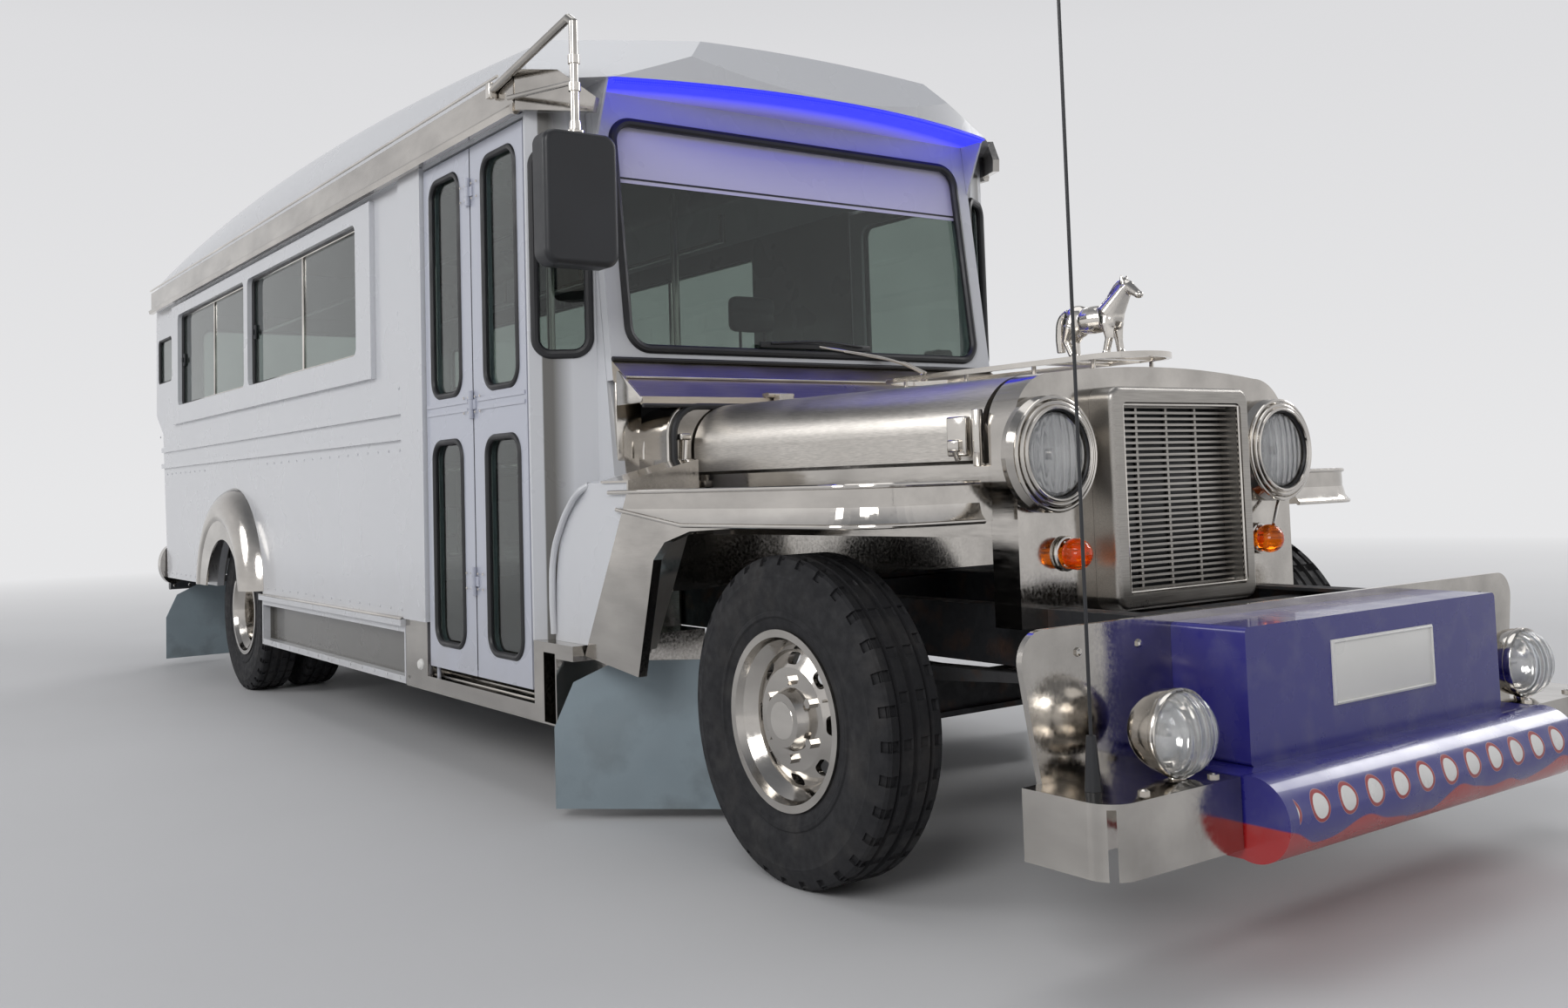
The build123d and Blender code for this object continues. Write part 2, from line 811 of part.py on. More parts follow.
def hood_pin():
    """Station and height of the hood's hinge line."""
    return ahead(COWL_X) + DOOR_GAP - 1, HOOD_TOP_Z + HOOD_CROWN + 10


def hood_hinge(y, span, forward):
    """One barrel of a hood hinge about the pin, tied forward to the hood or back to the cowl."""
    x, z = hood_pin()
    low, high = y + span[0], y + span[1]
    barrel = rod((x, low, z), (x, high, z), 2 * HINGE_R)
    if forward > 0:
        tie = block((x + 3, x + 34), (low, high), (HOOD_TOP_Z + 2, z + 2))
        bore = rod((x, low - 1, z), (x, high + 1, z), 2 * (PIN_R + RUN_GAP))
        return barrel + tie - bore
    tie = block((x - 40, x - 2), (low, high), (z - 7, z + 7))
    return barrel + tie


def hood_surface(x, y):
    """Height of the hood's crown at a point near the middle."""
    back = ahead(COWL_X) + DOOR_GAP
    front = ahead(FASCIA_X - FASCIA_DEPTH) - DOOR_GAP
    share = (x - back) / (front - back)
    half = HOOD_REAR_Y + (HOOD_FRONT_Y - HOOD_REAR_Y) * share - HOOD_SHOULDER
    radius = (half**2 + HOOD_CROWN**2) / (2 * HOOD_CROWN)
    return HOOD_TOP_Z + HOOD_CROWN - radius + (radius**2 - y**2) ** 0.5


def oval(back, front, half, z):
    """Face of a long oval in plan."""
    return Face(
        Wire(
            [
                Line((back, half, z), (front - half, half, z)),
                ThreePointArc((front - half, half, z), (front, 0, z), (front - half, -half, z)),
                Line((front - half, -half, z), (back, -half, z)),
                ThreePointArc((back, -half, z), (back - half, 0, z), (back, half, z)),
            ]
        )
    )


def ornament():
    """Oval rail on posts along the hood with a small standing horse at its front."""
    back, front = ahead(1150), ahead(2040)
    half, tube = 120, 14
    z = HOOD_TOP_Z + 56
    ring = extrude(oval(back, front, half, z - tube / 2), amount=tube, dir=(0, 0, 1))
    hole = extrude(oval(back, front - tube, half - tube, z - tube), amount=2 * tube, dir=(0, 0, 1))
    rail = ring - hole
    last = ahead(FASCIA_X - FASCIA_DEPTH) - DOOR_GAP - 20
    for x in (back + 40, back + 300, back + 560, last):
        for y in (tube / 2 - half, half - tube / 2):
            rail = rail + rod((x, y, hood_surface(x, y) + SEAT_GAP), (x, y, z), 12)
    horse_x = front - 210
    for x in (horse_x - 85, horse_x + 75):
        rail = rail + block((x - 22, x + 22), (4 - half, half - 4), (z - 5, z + 5))
    return rail + horse(horse_x, z + 5)


def horse(x, z):
    """Generic standing horse facing forward, about 200 mm tall."""
    figure = rounded((x - 84, x + 78), (-27, 27), (z + 82, z + 138), 24, Axis.X)
    neck = [(x + 40, z + 126), (x + 78, z + 92), (x + 116, z + 172), (x + 90, z + 200), (x + 60, z + 160)]
    head = [
        (x + 84, z + 190), (x + 100, z + 168), (x + 146, z + 148), (x + 154, z + 162),
        (x + 118, z + 198), (x + 104, z + 214), (x + 96, z + 200),
    ]
    tail = [(x - 90, z + 132), (x - 70, z + 124), (x - 92, z + 30), (x - 108, z + 34)]
    for outline, half in ((neck, 15), (head, 12), (tail, 8)):
        figure = figure + plate_xz(outline, (-half, half))
    for dx, y in ((62, 15), (46, -15), (-56, 15), (-72, -15)):
        figure = figure + rod((x + dx, y, z - 4), (x + dx, y, z + 100), 16)
    return figure


def fascia():
    """Rounded front panel behind the grille and headlamps."""
    back, front = ahead(FASCIA_X - FASCIA_DEPTH), ahead(FASCIA_X)
    depth = FASCIA_DEPTH
    outer = extrude(
        nose_section(back, HOOD_FRONT_Y, HOOD_TOP_Z, FASCIA_LOW_Z, 0), amount=depth, dir=(1, 0, 0)
    )
    inner = extrude(
        nose_section(back - 1, HOOD_FRONT_Y, HOOD_TOP_Z, FASCIA_LOW_Z - 1, HOOD_SKIN),
        amount=depth - HOOD_SKIN + 1,
        dir=(1, 0, 0),
    )
    mouth = block(
        (back, front + 1), (-GRILLE_Y, GRILLE_Y), (GRILLE_LOW_Z, GRILLE_HIGH_Z)
    )
    panel = outer - inner - mouth
    half = RAIL_WIDTH / 2 + SEAT_GAP
    for y in (-RAIL_Y, RAIL_Y):
        panel = panel - block((back, front + 1), (y - half, y + half), (0, RAIL_TOP_Z + SEAT_GAP))
    return panel


def grille():
    """Raised chrome surround holding fine level bars on upright stays."""
    back = ahead(FASCIA_X) + SEAT_GAP
    front = back + GRILLE_PROUD
    wide, frame = GRILLE_Y, GRILLE_FRAME
    outer = rounded(
        (back, front), (-wide - frame, wide + frame), (GRILLE_LOW_Z - frame, GRILLE_HIGH_Z + frame),
        34, Axis.X,
    )
    outer = fillet(outer.faces().sort_by(Axis.X)[-1].edges(), 14)
    hole = rounded(
        (back - 1, front + 1), (-wide, wide), (GRILLE_LOW_Z, GRILLE_HIGH_Z), 16, Axis.X
    )
    surround = outer - hole
    count = int((GRILLE_HIGH_Z - GRILLE_LOW_Z) / GRILLE_PITCH)
    first = (GRILLE_LOW_Z + GRILLE_HIGH_Z) / 2 - (count - 1) * GRILLE_PITCH / 2
    bar_x = (back + 14, back + 26)
    for y in (-wide * 0.5, 0, wide * 0.5):
        surround = surround + block(
            (back + 8, back + 14), (y - 4, y + 4), (GRILLE_LOW_Z - 4, GRILLE_HIGH_Z + 4)
        )
    for number in range(count):
        z = first + number * GRILLE_PITCH
        surround = surround + block(
            bar_x, (-wide - 2, wide + 2), (z - GRILLE_BAR / 2, z + GRILLE_BAR / 2)
        )
    return surround


def turned_x(points, centre):
    """A solid turned about an axis along X, outline given as (radius, forward)."""
    outline = Wire.make_polygon([(r, 0, w) for r, w in points], close=True)
    solid = revolve(Face(outline), Axis.Z, 360)
    return Pos(*centre) * Rot(Y=90) * solid


def headlamp_pod(y):
    """Stepped bowl round one headlamp."""
    lens, ring = HEADLAMP_D / 2, HEADLAMP_RING
    outline = [
        (0, 0), (lens + ring + 6, 0), (lens + ring + 6, 14), (lens + ring - 4, 30),
        (lens + 10, 34), (lens + 6, 46), (lens, 46), (lens, 22), (0, 12),
    ]
    return turned_x(outline, (ahead(FASCIA_X) + SEAT_GAP, y, HEADLAMP_Z))


def headlamp_lens(y):
    """Domed glass of one headlamp."""
    radius = HEADLAMP_D / 2 - SEAT_GAP
    outline = [(0, 24), (radius, 30), (radius, 36), (radius * 0.7, 46), (radius * 0.35, 51), (0, 52)]
    return turned_x(outline, (ahead(FASCIA_X) + SEAT_GAP, y, HEADLAMP_Z))


def lamp_ball(x, y, z, diameter):
    """Round lamp on a short foot."""
    return Pos(x, y, z) * Sphere(diameter / 2)


def fender_plan(inset, z):
    """Outline of the left fender seen from above, its outer front corner rounded off."""
    rear, front = ahead(FENDER_REAR_X) - inset / FENDER_SKIN, ahead(FENDER_FRONT_X) - inset
    inner, outer = FENDER_INNER_Y - inset / FENDER_SKIN, FENDER_Y - inset
    radius = FENDER_CORNER - inset
    near = radius * (1 - cos(radians(45)))
    return Face(
        Wire(
            [
                Line((rear, inner, z), (rear, outer, z)),
                Line((rear, outer, z), (front - radius, outer, z)),
                ThreePointArc(
                    (front - radius, outer, z), (front - near, outer - near, z), (front, outer - radius, z)
                ),
                Line((front, outer - radius, z), (front, inner, z)),
                Line((front, inner, z), (rear, inner, z)),
            ]
        )
    )


def fender():
    """Flat polished front fender on the left with its deep band, sloping leg and apron."""
    low, top = FENDER_TOP_Z - FENDER_BAND, FENDER_TOP_Z
    tray = extrude(fender_plan(0, low), amount=FENDER_BAND, dir=(0, 0, 1))
    hollow = extrude(fender_plan(FENDER_SKIN, low - 1), amount=FENDER_BAND + 1 - FENDER_SKIN, dir=(0, 0, 1))
    foot_z = LEG_LOW_Z + 20
    arch = [(ahead(x), low + z) for x, z in ARCH_CURVE]
    leg = [(leg_line(LEG_LOW_Z) + LEG_WIDTH - 20, LEG_LOW_Z - 12), (leg_line(foot_z), foot_z)]
    panel = plate_xz(
        [(leg_line(top), top)] + [(arch[0][0], top)] + arch + leg, (FENDER_Y - 26, FENDER_Y)
    )
    inside = COWL_Y + SEAT_GAP
    slope = plate_xz(
        [
            (leg_line(top), top), (leg_line(top) + 14, top), (leg_line(foot_z) + 14, foot_z),
            (leg_line(foot_z), foot_z),
        ],
        (inside, FENDER_Y - 1),
    )
    crest, edge = FAIRING_CURVE[-1][1] + SEAT_GAP, FAIRING_EDGE_Z + SEAT_GAP
    lift = (crest - edge) / (FENDER_Y - 6 - inside)
    out_edge = edge - lift * 6
    riser = plate_yz(
        [(inside, top - 12), (FENDER_Y, top - 12), (FENDER_Y, out_edge + 6), (inside, crest + 6)],
        (leg_line(top), leg_line(top) + 8),
    )
    kick = plate_yz(
        [(inside, crest), (FENDER_Y, out_edge), (FENDER_Y, out_edge + 6), (inside, crest + 6)],
        (ahead(KICK_BACK), leg_line(top) + 1),
    )
    stop = ahead(COWL_X) + DOOR_GAP
    inner = HOOD_REAR_Y
    tip = ahead(FASCIA_X - FASCIA_DEPTH) - SEAT_GAP
    apron = plate_xy(
        [(stop, inner), (tip, HOOD_FRONT_Y), (tip, HOOD_FRONT_Y - 12), (stop, inner - 12)],
        (top - APRON_DROP, HOOD_LOW_Z - DOOR_GAP),
    )
    shelf = plate_xy(
        [
            (stop, inner - 6), (tip, HOOD_FRONT_Y - 6), (tip, FENDER_INNER_Y + 6),
            (stop, FENDER_INNER_Y + 70),
        ],
        (top - 24, top - 12),
    )
    return (tray - hollow) + panel + slope + riser + kick + apron + shelf


def mud_flap(x, y, lean, top_z, low_z):
    """Flap hung at an angle, its outer top corner rounded off; lean is the outward run in X."""
    (y0, y1), thick = y, 6
    run = Vector(lean, y1 - y0, 0)
    along = run.normalized()
    normal = Vector(along.Y, -along.X, 0)
    length = run.length
    start = Vector(x, y0, 0)
    outline = [(0, low_z), (length, low_z), (length, top_z - 190), (length - 60, top_z - 60),
               (length - 190, top_z), (0, top_z)]
    face = Face(
        Wire.make_polygon([tuple(start + along * s + Vector(0, 0, z)) for s, z in outline], close=True)
    )
    flap = extrude(face, amount=thick, dir=tuple(normal))
    post_x = (x - 14, x + 14)
    arm_z = (RAIL_LOW_Z - 30, RAIL_LOW_Z - SEAT_GAP)
    flap = flap + block(post_x, (y0 - 8, y0 + 8), (top_z - 60, arm_z[1]))
    return flap + block(post_x, (RAIL_Y + 21, y0), arm_z)


def arch_cover():
    """Polished half-dome over a rear wheel, on the left, its mouth following the wheel."""
    radius, proud, skin = ARCH_COVER_R, ARCH_COVER_PROUD, SKIN
    eye = radius - 310
    outline = Wire(
        [
            ThreePointArc((radius, 0, 0), (radius - 34, 0, proud * 0.66), (radius - 165, 0, proud)),
            Line((radius - 165, 0, proud), (eye, 0, proud)),
            Line((eye, 0, proud), (eye, 0, proud - skin)),
            Line((eye, 0, proud - skin), (radius - 165, 0, proud - skin)),
            ThreePointArc(
                (radius - 165, 0, proud - skin),
                (radius - 34 - skin, 0, (proud - skin) * 0.62),
                (radius - skin, 0, 0),
            ),
            Line((radius - skin, 0, 0), (radius, 0, 0)),
        ]
    )
    centre = (rear_axle_x - ARCH_COVER_BACK, side_y + SEAT_GAP, axle_z + ARCH_COVER_UP)
    dome = Pos(*centre) * Rot(X=-90) * revolve(Face(outline), Axis.Z, 360)
    mouth = Pos(rear_axle_x, side_y + proud, axle_z + 20) * Rot(X=90) * Cylinder(ARCH_MOUTH_R, 4 * proud)
    below = block(
        (rear_axle_x - 900, rear_axle_x + 900), (0, side_y + 200), (-500, SILL_Z + 12)
    )
    return dome - mouth - below


def running_board(back, front):
    """Polished strip over a white channel skirt, on the left."""
    strip = block((back, front), (inner_y, side_y + BOARD_PROUD), (SILL_Z - 28, SILL_Z - SEAT_GAP))
    web_y = side_y - 50
    web = block((back, front), (web_y - SKIN, web_y), (SKIRT_LOW_Z, SILL_Z - 27))
    lips = [(SKIRT_LOW_Z, SKIRT_LOW_Z + 26), (SILL_Z - 52, SILL_Z - 27)]
    board = strip + web
    for z in lips:
        board = board + block((back, front), (web_y - 1, side_y), z)
    for x in (back, front - 12):
        board = board + block((x, x + 12), (web_y - 1, side_y), (SKIRT_LOW_Z, SILL_Z - 27))
    return board


def step_well():
    """Stainless entry step let into the floor on the right, with the box ahead of it."""
    y_out = -side_y
    y_in = y_out + STEP_DEPTH
    rear, front = door_rear_x - 30, door_front_x + 18
    plate = 6
    under = RAIL_TOP_Z - SEAT_GAP
    well = block((rear - JAMB + 6, front), (y_out, y_in), (STEP_LOW_Z, STEP_TOP_Z))
    well = well - block(
        (rear - JAMB - 10, front + 10), (y_out + plate, y_in - plate), (STEP_LOW_Z - 1, STEP_TOP_Z - plate)
    )
    well = well + block((rear - plate, rear), (y_out + WALL + 4, y_in), (STEP_TOP_Z - 1, under))
    well = well + block((rear - plate, front), (y_in - plate, y_in), (STEP_TOP_Z - 1, under))
    well = well + block(
        (rear - JAMB + 6, rear), (y_out, y_out + plate), (STEP_TOP_Z - 1, SILL_Z - SEAT_GAP)
    )
    well = well + block((rear - plate, rear), (y_out, y_out + WALL + 5), (STEP_TOP_Z - 1, SILL_Z - SEAT_GAP))
    box_x = (front - plate, ahead(STEP_BOX_X))
    box_z = (STEP_LOW_Z, SILL_Z - SEAT_GAP)
    crate = block(box_x, (y_out, y_in), box_z)
    crate = crate - block(
        (front + 60, box_x[1] - plate), (y_out - 1, y_in - plate), (box_z[0] + plate, box_z[1] - 30)
    )
    crate = crate - block(
        (front, front + 60 - plate), (y_out + plate, y_in - plate), (box_z[0] - 1, box_z[1] - 30)
    )
    tray = block(
        (box_x[1] - 1, leg_line(LEG_LOW_Z + 20) - 2), (y_out, y_out + 260), (box_z[1] - 44, box_z[1])
    )
    return well + crate + tray - leaf_pin_bores()


def floor():
    """Deck with the entry well cut out and raised boxes over the rear wheels."""
    back = body_rear_x + REAR_TUCK + WALL
    front = cowl_back() - SEAT_GAP
    z = (RAIL_TOP_Z, floor_z)
    half = inner_y - SEAT_GAP
    edge, inner = corner_inner_x(half) - 1, corner_inner_x(COWL_Y) - 1
    deck = plate_xy(
        [
            (back, -half), (edge, -half), (inner, -COWL_Y), (front, -COWL_Y), (front, COWL_Y),
            (inner, COWL_Y), (edge, half), (back, half),
        ],
        z,
    )
    deck = deck - block(
        (door_rear_x - 36 - SEAT_GAP, door_front_x + 18 + SEAT_GAP),
        (-side_y, -side_y + STEP_DEPTH + SEAT_GAP),
        (z[0] - 1, z[1] + 1),
    )
    reach = ARCH_R + 20
    inner = RAIL_Y + RAIL_WIDTH / 2 + 12
    top = TYRE_D + 110
    wheel_x = (rear_axle_x - reach, rear_axle_x + reach)
    for side in (1, -1):
        span = sorted((side * inner, side * half))
        hole = sorted((side * (inner + SKIN), side * (half + 1)))
        deck = deck + block(wheel_x, span, (z[0], top))
        deck = deck - block(
            (wheel_x[0] + SKIN, wheel_x[1] - SKIN), hole, (z[0] - 1, top - SKIN)
        )
    return deck


def chassis_frame():
    """Two channel rails joined by cross members."""
    back = body_rear_x + REAR_TUCK + WALL + 20
    front = ahead(BUMPER_PLATE_X) - SEAT_GAP
    rail = block((back, front), (RAIL_Y - RAIL_WIDTH / 2, RAIL_Y + RAIL_WIDTH / 2), (RAIL_LOW_Z, RAIL_TOP_Z))
    rail = rail - block(
        (back - 1, front + 1), (RAIL_Y - RAIL_WIDTH / 2 - 1, RAIL_Y + RAIL_WIDTH / 2 - SKIN),
        (RAIL_LOW_Z + SKIN, RAIL_TOP_Z - SKIN),
    )
    frame = rail + mirror(rail, about=Plane.XZ)
    members = [
        back + 60, rear_axle_x - 620, rear_axle_x + 620, seam_x - 900, ahead(-150), ahead(700),
        front_axle_x + 560,
    ]
    for x in members:
        frame = frame + block(
            (x - 35, x + 35), (-RAIL_Y - RAIL_WIDTH / 2 + SKIN, RAIL_Y + RAIL_WIDTH / 2 - SKIN),
            (RAIL_LOW_Z + 2, RAIL_TOP_Z - 20),
        )
    return frame


def leaf_spring(x):
    """Stack of leaves under a rail on the left with its two hangers."""
    top = RAIL_LOW_Z - SEAT_GAP
    low = axle_z + AXLE_D / 2 + SEAT_GAP
    half = SPRING_HALF
    outline = [
        (x - half - 20, top), (x - half - 20, top - 44), (x - half + 40, top - 34),
        (x - half * 0.55, low + 16), (x - 60, low), (x + 60, low), (x + half * 0.55, low + 16),
        (x + half - 40, top - 34), (x + half + 20, top - 44), (x + half + 20, top),
        (x + half - 50, top), (x + half - 60, top - 14), (x + half * 0.5, low + 40),
        (x, low + 34), (x - half * 0.5, low + 40), (x - half + 60, top - 14), (x - half + 50, top),
    ]
    return plate_xz(outline, (RAIL_Y - SPRING_WIDTH / 2, RAIL_Y + SPRING_WIDTH / 2))


def front_axle():
    """Beam with an eye for the kingpin at each end."""
    centre = (front_axle_x, 0, axle_z)
    eye_r = KINGPIN_D / 2 + 16
    beam = block(
        (front_axle_x - 32, front_axle_x + 32), (-KINGPIN_Y + 10, KINGPIN_Y - 10),
        (axle_z - AXLE_D / 2, axle_z + AXLE_D / 2),
    )
    web = block(
        (front_axle_x + 12, front_axle_x + 33), (-KINGPIN_Y + 80, KINGPIN_Y - 80),
        (axle_z - AXLE_D / 2 + 14, axle_z + AXLE_D / 2 - 14),
    )
    other = block(
        (front_axle_x - 33, front_axle_x - 12), (-KINGPIN_Y + 80, KINGPIN_Y - 80),
        (axle_z - AXLE_D / 2 + 14, axle_z + AXLE_D / 2 - 14),
    )
    beam = beam - web - other
    for side in (1, -1):
        place = Pos(centre[0], side * KINGPIN_Y, centre[2])
        beam = beam + place * Cylinder(eye_r, AXLE_D)
        beam = beam - place * Cylinder(KINGPIN_D / 2 + RUN_GAP, AXLE_D + 2)
    return beam


def knuckle():
    """Steering knuckle on the left: forked ears, kingpin, spindle and brake plate."""
    place = (front_axle_x, KINGPIN_Y, axle_z)
    eye_r = KINGPIN_D / 2 + 16
    ear, gap = 26, 0.5
    half = AXLE_D / 2 + gap
    piece = Pos(*place) * Cylinder(KINGPIN_D / 2, 2 * (half + ear) - 2)
    for side in (1, -1):
        z = axle_z + side * (half + ear / 2)
        piece = piece + Pos(place[0], place[1], z) * Cylinder(eye_r, ear)
        piece = piece + block(
            (front_axle_x - 30, front_axle_x + 30), (KINGPIN_Y, KINGPIN_Y + eye_r + 24),
            (z - ear / 2, z + ear / 2),
        )
    web_y = KINGPIN_Y + eye_r + 8
    piece = piece + block(
        (front_axle_x - 30, front_axle_x + 30), (web_y, web_y + 16), (axle_z - half - ear, axle_z + half + ear)
    )
    end = FRONT_TRACK / 2 + 40
    piece = piece + rod(
        (front_axle_x, web_y + 8, axle_z), (front_axle_x, end, axle_z), SPINDLE_D
    )
    return piece


def tyre(x, y, out):
    """Ring tyre with rounded shoulders; out is +1 on the left."""
    radius, bead, half = TYRE_D / 2, RIM_D / 2 - 12, TYRE_WIDTH / 2
    outline = [
        (bead, -half * 0.72), (bead + 42, -half * 0.9), (bead + 95, -half), (radius - 42, -half * 0.94),
        (radius - 14, -half * 0.86), (radius, -half * 0.72), (radius, half * 0.72),
        (radius - 14, half * 0.86), (radius - 42, half * 0.94), (bead + 95, half),
        (bead + 42, half * 0.9), (bead, half * 0.72),
    ]
    return turned(outline, (x, y, axle_z), out)


def rim(x, y, out, dish, edge, hub):
    """Disc wheel: barrel, disc with hand holes that meets the barrel at edge, hub with nuts."""
    flange, seat, half = RIM_D / 2, RIM_D / 2 - 12 - SEAT_GAP, TYRE_WIDTH / 2
    face = dish + 14
    barrel = [
        (seat, -half * 0.74), (flange - 2, -half * 0.78), (flange - 2, -half * 0.9),
        (seat - 8, -half * 0.9), (seat - 16, -half * 0.7), (seat - 40, -half * 0.4),
        (seat - 40, half * 0.4), (seat - 16, half * 0.7), (seat - 8, half * 0.9),
        (flange - 2, half * 0.9), (flange - 2, half * 0.78), (seat, half * 0.74),
        (seat, half * 0.6), (seat - 26, half * 0.3), (seat - 26, -half * 0.3), (seat, -half * 0.6),
    ]
    wheel = turned(barrel, (x, y, axle_z), out)
    disc = [
        (0, face - 12), (116, face - 12), (seat - 37, edge - 12), (seat - 37, edge + 4),
        (122, face), (0, face),
    ]
    plate = turned(disc, (x, y, axle_z), out)
    holes = 8
    for number in range(holes):
        angle = 360 * number / holes
        reach = 143
        dx, dz = reach * cos(radians(angle)), reach * sin(radians(angle))
        hole = Box(46, 160, 28)
        hole = fillet(hole.edges().filter_by(Axis.Y), 13)
        plate = plate - Pos(x + dx, y + out * dish, axle_z + dz) * Rot(Y=90 - angle) * hole
    back, front = hub
    boss = [(0, back), (HUB_D / 2, back), (HUB_D / 2, face + 4), (HUB_D / 2 - 12, front), (0, front)]
    wheel = wheel + plate + turned(boss, (x, y, axle_z), out)
    for number in range(6):
        angle = radians(60 * number + 30)
        dx, dz = 92 * cos(angle), 92 * sin(angle)
        nut = Rot(X=90) * extrude(RegularPolygon(12, 6), amount=8, both=True)
        wheel = wheel + Pos(x + dx, y + out * (face + 6), axle_z + dz) * nut
    return wheel


def front_wheel(side):
    """Tyre and rim of one front wheel, bored for its spindle."""
    x, y = front_axle_x, side * FRONT_TRACK / 2
    wheel = rim(x, y, side, 40, 26, (-30, 84))
    bore = rod(
        (x, y - side * 200, axle_z), (x, side * (FRONT_TRACK / 2 + 42), axle_z),
        SPINDLE_D + 2 * RUN_GAP,
    )
    return tyre(x, y, side), wheel - bore


def rear_wheels(side):
    """Twin tyres and their two rims on one hub, bored for the axle end."""
    x = rear_axle_x
    outer = side * REAR_TRACK / 2
    inner = side * (REAR_TRACK / 2 - TWIN_PITCH)
    tyres = [tyre(x, outer, side), tyre(x, inner, side)]
    outside = rim(x, outer, side, -TWIN_PITCH / 2 + 26, -28, (-TWIN_PITCH / 2 - 30, -10))
    inside = rim(x, inner, side, TWIN_PITCH / 2 - 40, 30, (20, TWIN_PITCH / 2 + 40))
    bore = rod(
        (x, inner - side * 200, axle_z), (x, outer - side * 40, axle_z), SPINDLE_D + 2 * RUN_GAP
    )
    return tyres, (outside + inside) - bore


def rear_axle():
    """Driven axle: tube, round drive housing with its motor, and the two ends."""
    tube = rod(
        (rear_axle_x, -RAIL_Y - 60, axle_z), (rear_axle_x, RAIL_Y + 60, axle_z), AXLE_D
    )
    end = REAR_TRACK / 2 - 42
    shaft = rod((rear_axle_x, -end, axle_z), (rear_axle_x, end, axle_z), SPINDLE_D)
    housing = Pos(rear_axle_x, 0, axle_z) * Sphere(140)
    motor = Pos(rear_axle_x + 250, 0, axle_z) * Rot(Y=90) * Cylinder(105, 320)
    return tube + shaft + housing + motor


def battery_pack():
    """Traction battery, one plain block hung between the rails."""
    half = RAIL_Y - RAIL_WIDTH / 2 - SEAT_GAP
    return block(
        (rear_axle_x + 800, seam_x - 960), (-half, half), (RAIL_LOW_Z - 150, RAIL_TOP_Z - SEAT_GAP)
    )


def bumper():
    """Upright polished plate with a shelf at each side."""
    back = ahead(BUMPER_PLATE_X)
    plate = plate_yz(
        [
            (-BUMPER_TOP_Y, BUMPER_TOP_Z), (BUMPER_TOP_Y, BUMPER_TOP_Z), (BUMPER_LOW_Y, BUMPER_LOW_Z),
            (-BUMPER_LOW_Y, BUMPER_LOW_Z),
        ],
        (back, back + BUMPER_PLATE),
    )
    plate = fillet(plate.edges().filter_by(Axis.X).sort_by(Axis.Z)[-2:], 60)
    for side in (1, -1):
        y = sorted((side * (NOSE_Y + 5), side * BUMPER_TOP_Y))
        z = (SHELF_LOW_Z, SHELF_TOP_Z)
        shelf = block((back + BUMPER_PLATE - 1, ahead(SHELF_X)), y, z)
        corner = shelf.edges().filter_by(Axis.Z).sort_by(Axis.X)[-2:].sort_by(Axis.Y)
        shelf = fillet(corner[-1] if side > 0 else corner[0], 60)
        shelf = shelf - block(
            (back + BUMPER_PLATE + 8, ahead(SHELF_X) - 12), (y[0] + 12, y[1] - 12),
            (SHELF_LOW_Z - 1, SHELF_TOP_Z - 10),
        )
        plate = plate + shelf
    return plate


def bumper_centre():
    """Blue box on a rounded nose bar across the middle of the bumper."""
    back = ahead(BUMPER_PLATE_X) + BUMPER_PLATE + SEAT_GAP
    low, high = NOSE_LOW_Z, SHELF_TOP_Z
    reach = front_x
    knee = reach - 105
    nose = Face(
        Wire(
            [
                Line((back, -NOSE_Y, low), (knee, -NOSE_Y, low)),
                ThreePointArc(
                    (knee, -NOSE_Y, low), (reach, -NOSE_Y, (low + high) / 2), (knee, -NOSE_Y, high)
                ),
                Line((knee, -NOSE_Y, high), (back, -NOSE_Y, high)),
                Line((back, -NOSE_Y, high), (back, -NOSE_Y, low)),
            ]
        )
    )
    bar = extrude(nose, amount=2 * NOSE_Y, dir=(0, 1, 0))
    crate = rounded((back, ahead(BOX_X)), (-BOX_Y, BOX_Y), (high - 1, BOX_TOP_Z), 12, Axis.X)
    return bar + crate


def antenna():
    """Whip on a tapered base at the bumper's right end."""
    x, z = ahead(2520), SHELF_TOP_Z + SEAT_GAP
    base = Pos(x, -ANTENNA_Y, z + 50) * Cone(16, 9, 100)
    whip = rod((x, -ANTENNA_Y, z + 90), (x, -ANTENNA_Y, ANTENNA_TOP_Z), 7)
    return base + whip


def rear_bumper():
    """Plain bar across the tail with two brackets to the rails."""
    x = (rear_x, rear_x + 60)
    bar = rounded(x, (-900, 900), (410, 480), 20, Axis.Y)
    for y in (-RAIL_Y, RAIL_Y):
        bar = bar + block((rear_x + 50, body_rear_x + REAR_TUCK + WALL + 19), (y - 20, y + 20), (425, 465))
    for y in (-RAIL_Y, RAIL_Y):
        back = body_rear_x + REAR_TUCK + WALL + 20 + SEAT_GAP
        bar = bar + block((back - 20, back + 120), (y - 20, y + 20), (425, RAIL_LOW_Z - SEAT_GAP))
    return bar


def tail_at(z):
    """Station of the tail's outside at a height below the belt."""
    run = (z - SILL_Z) / (SURROUND_LOW_Z - 40 - SILL_Z)
    return body_rear_x + REAR_TUCK * (1 - run)


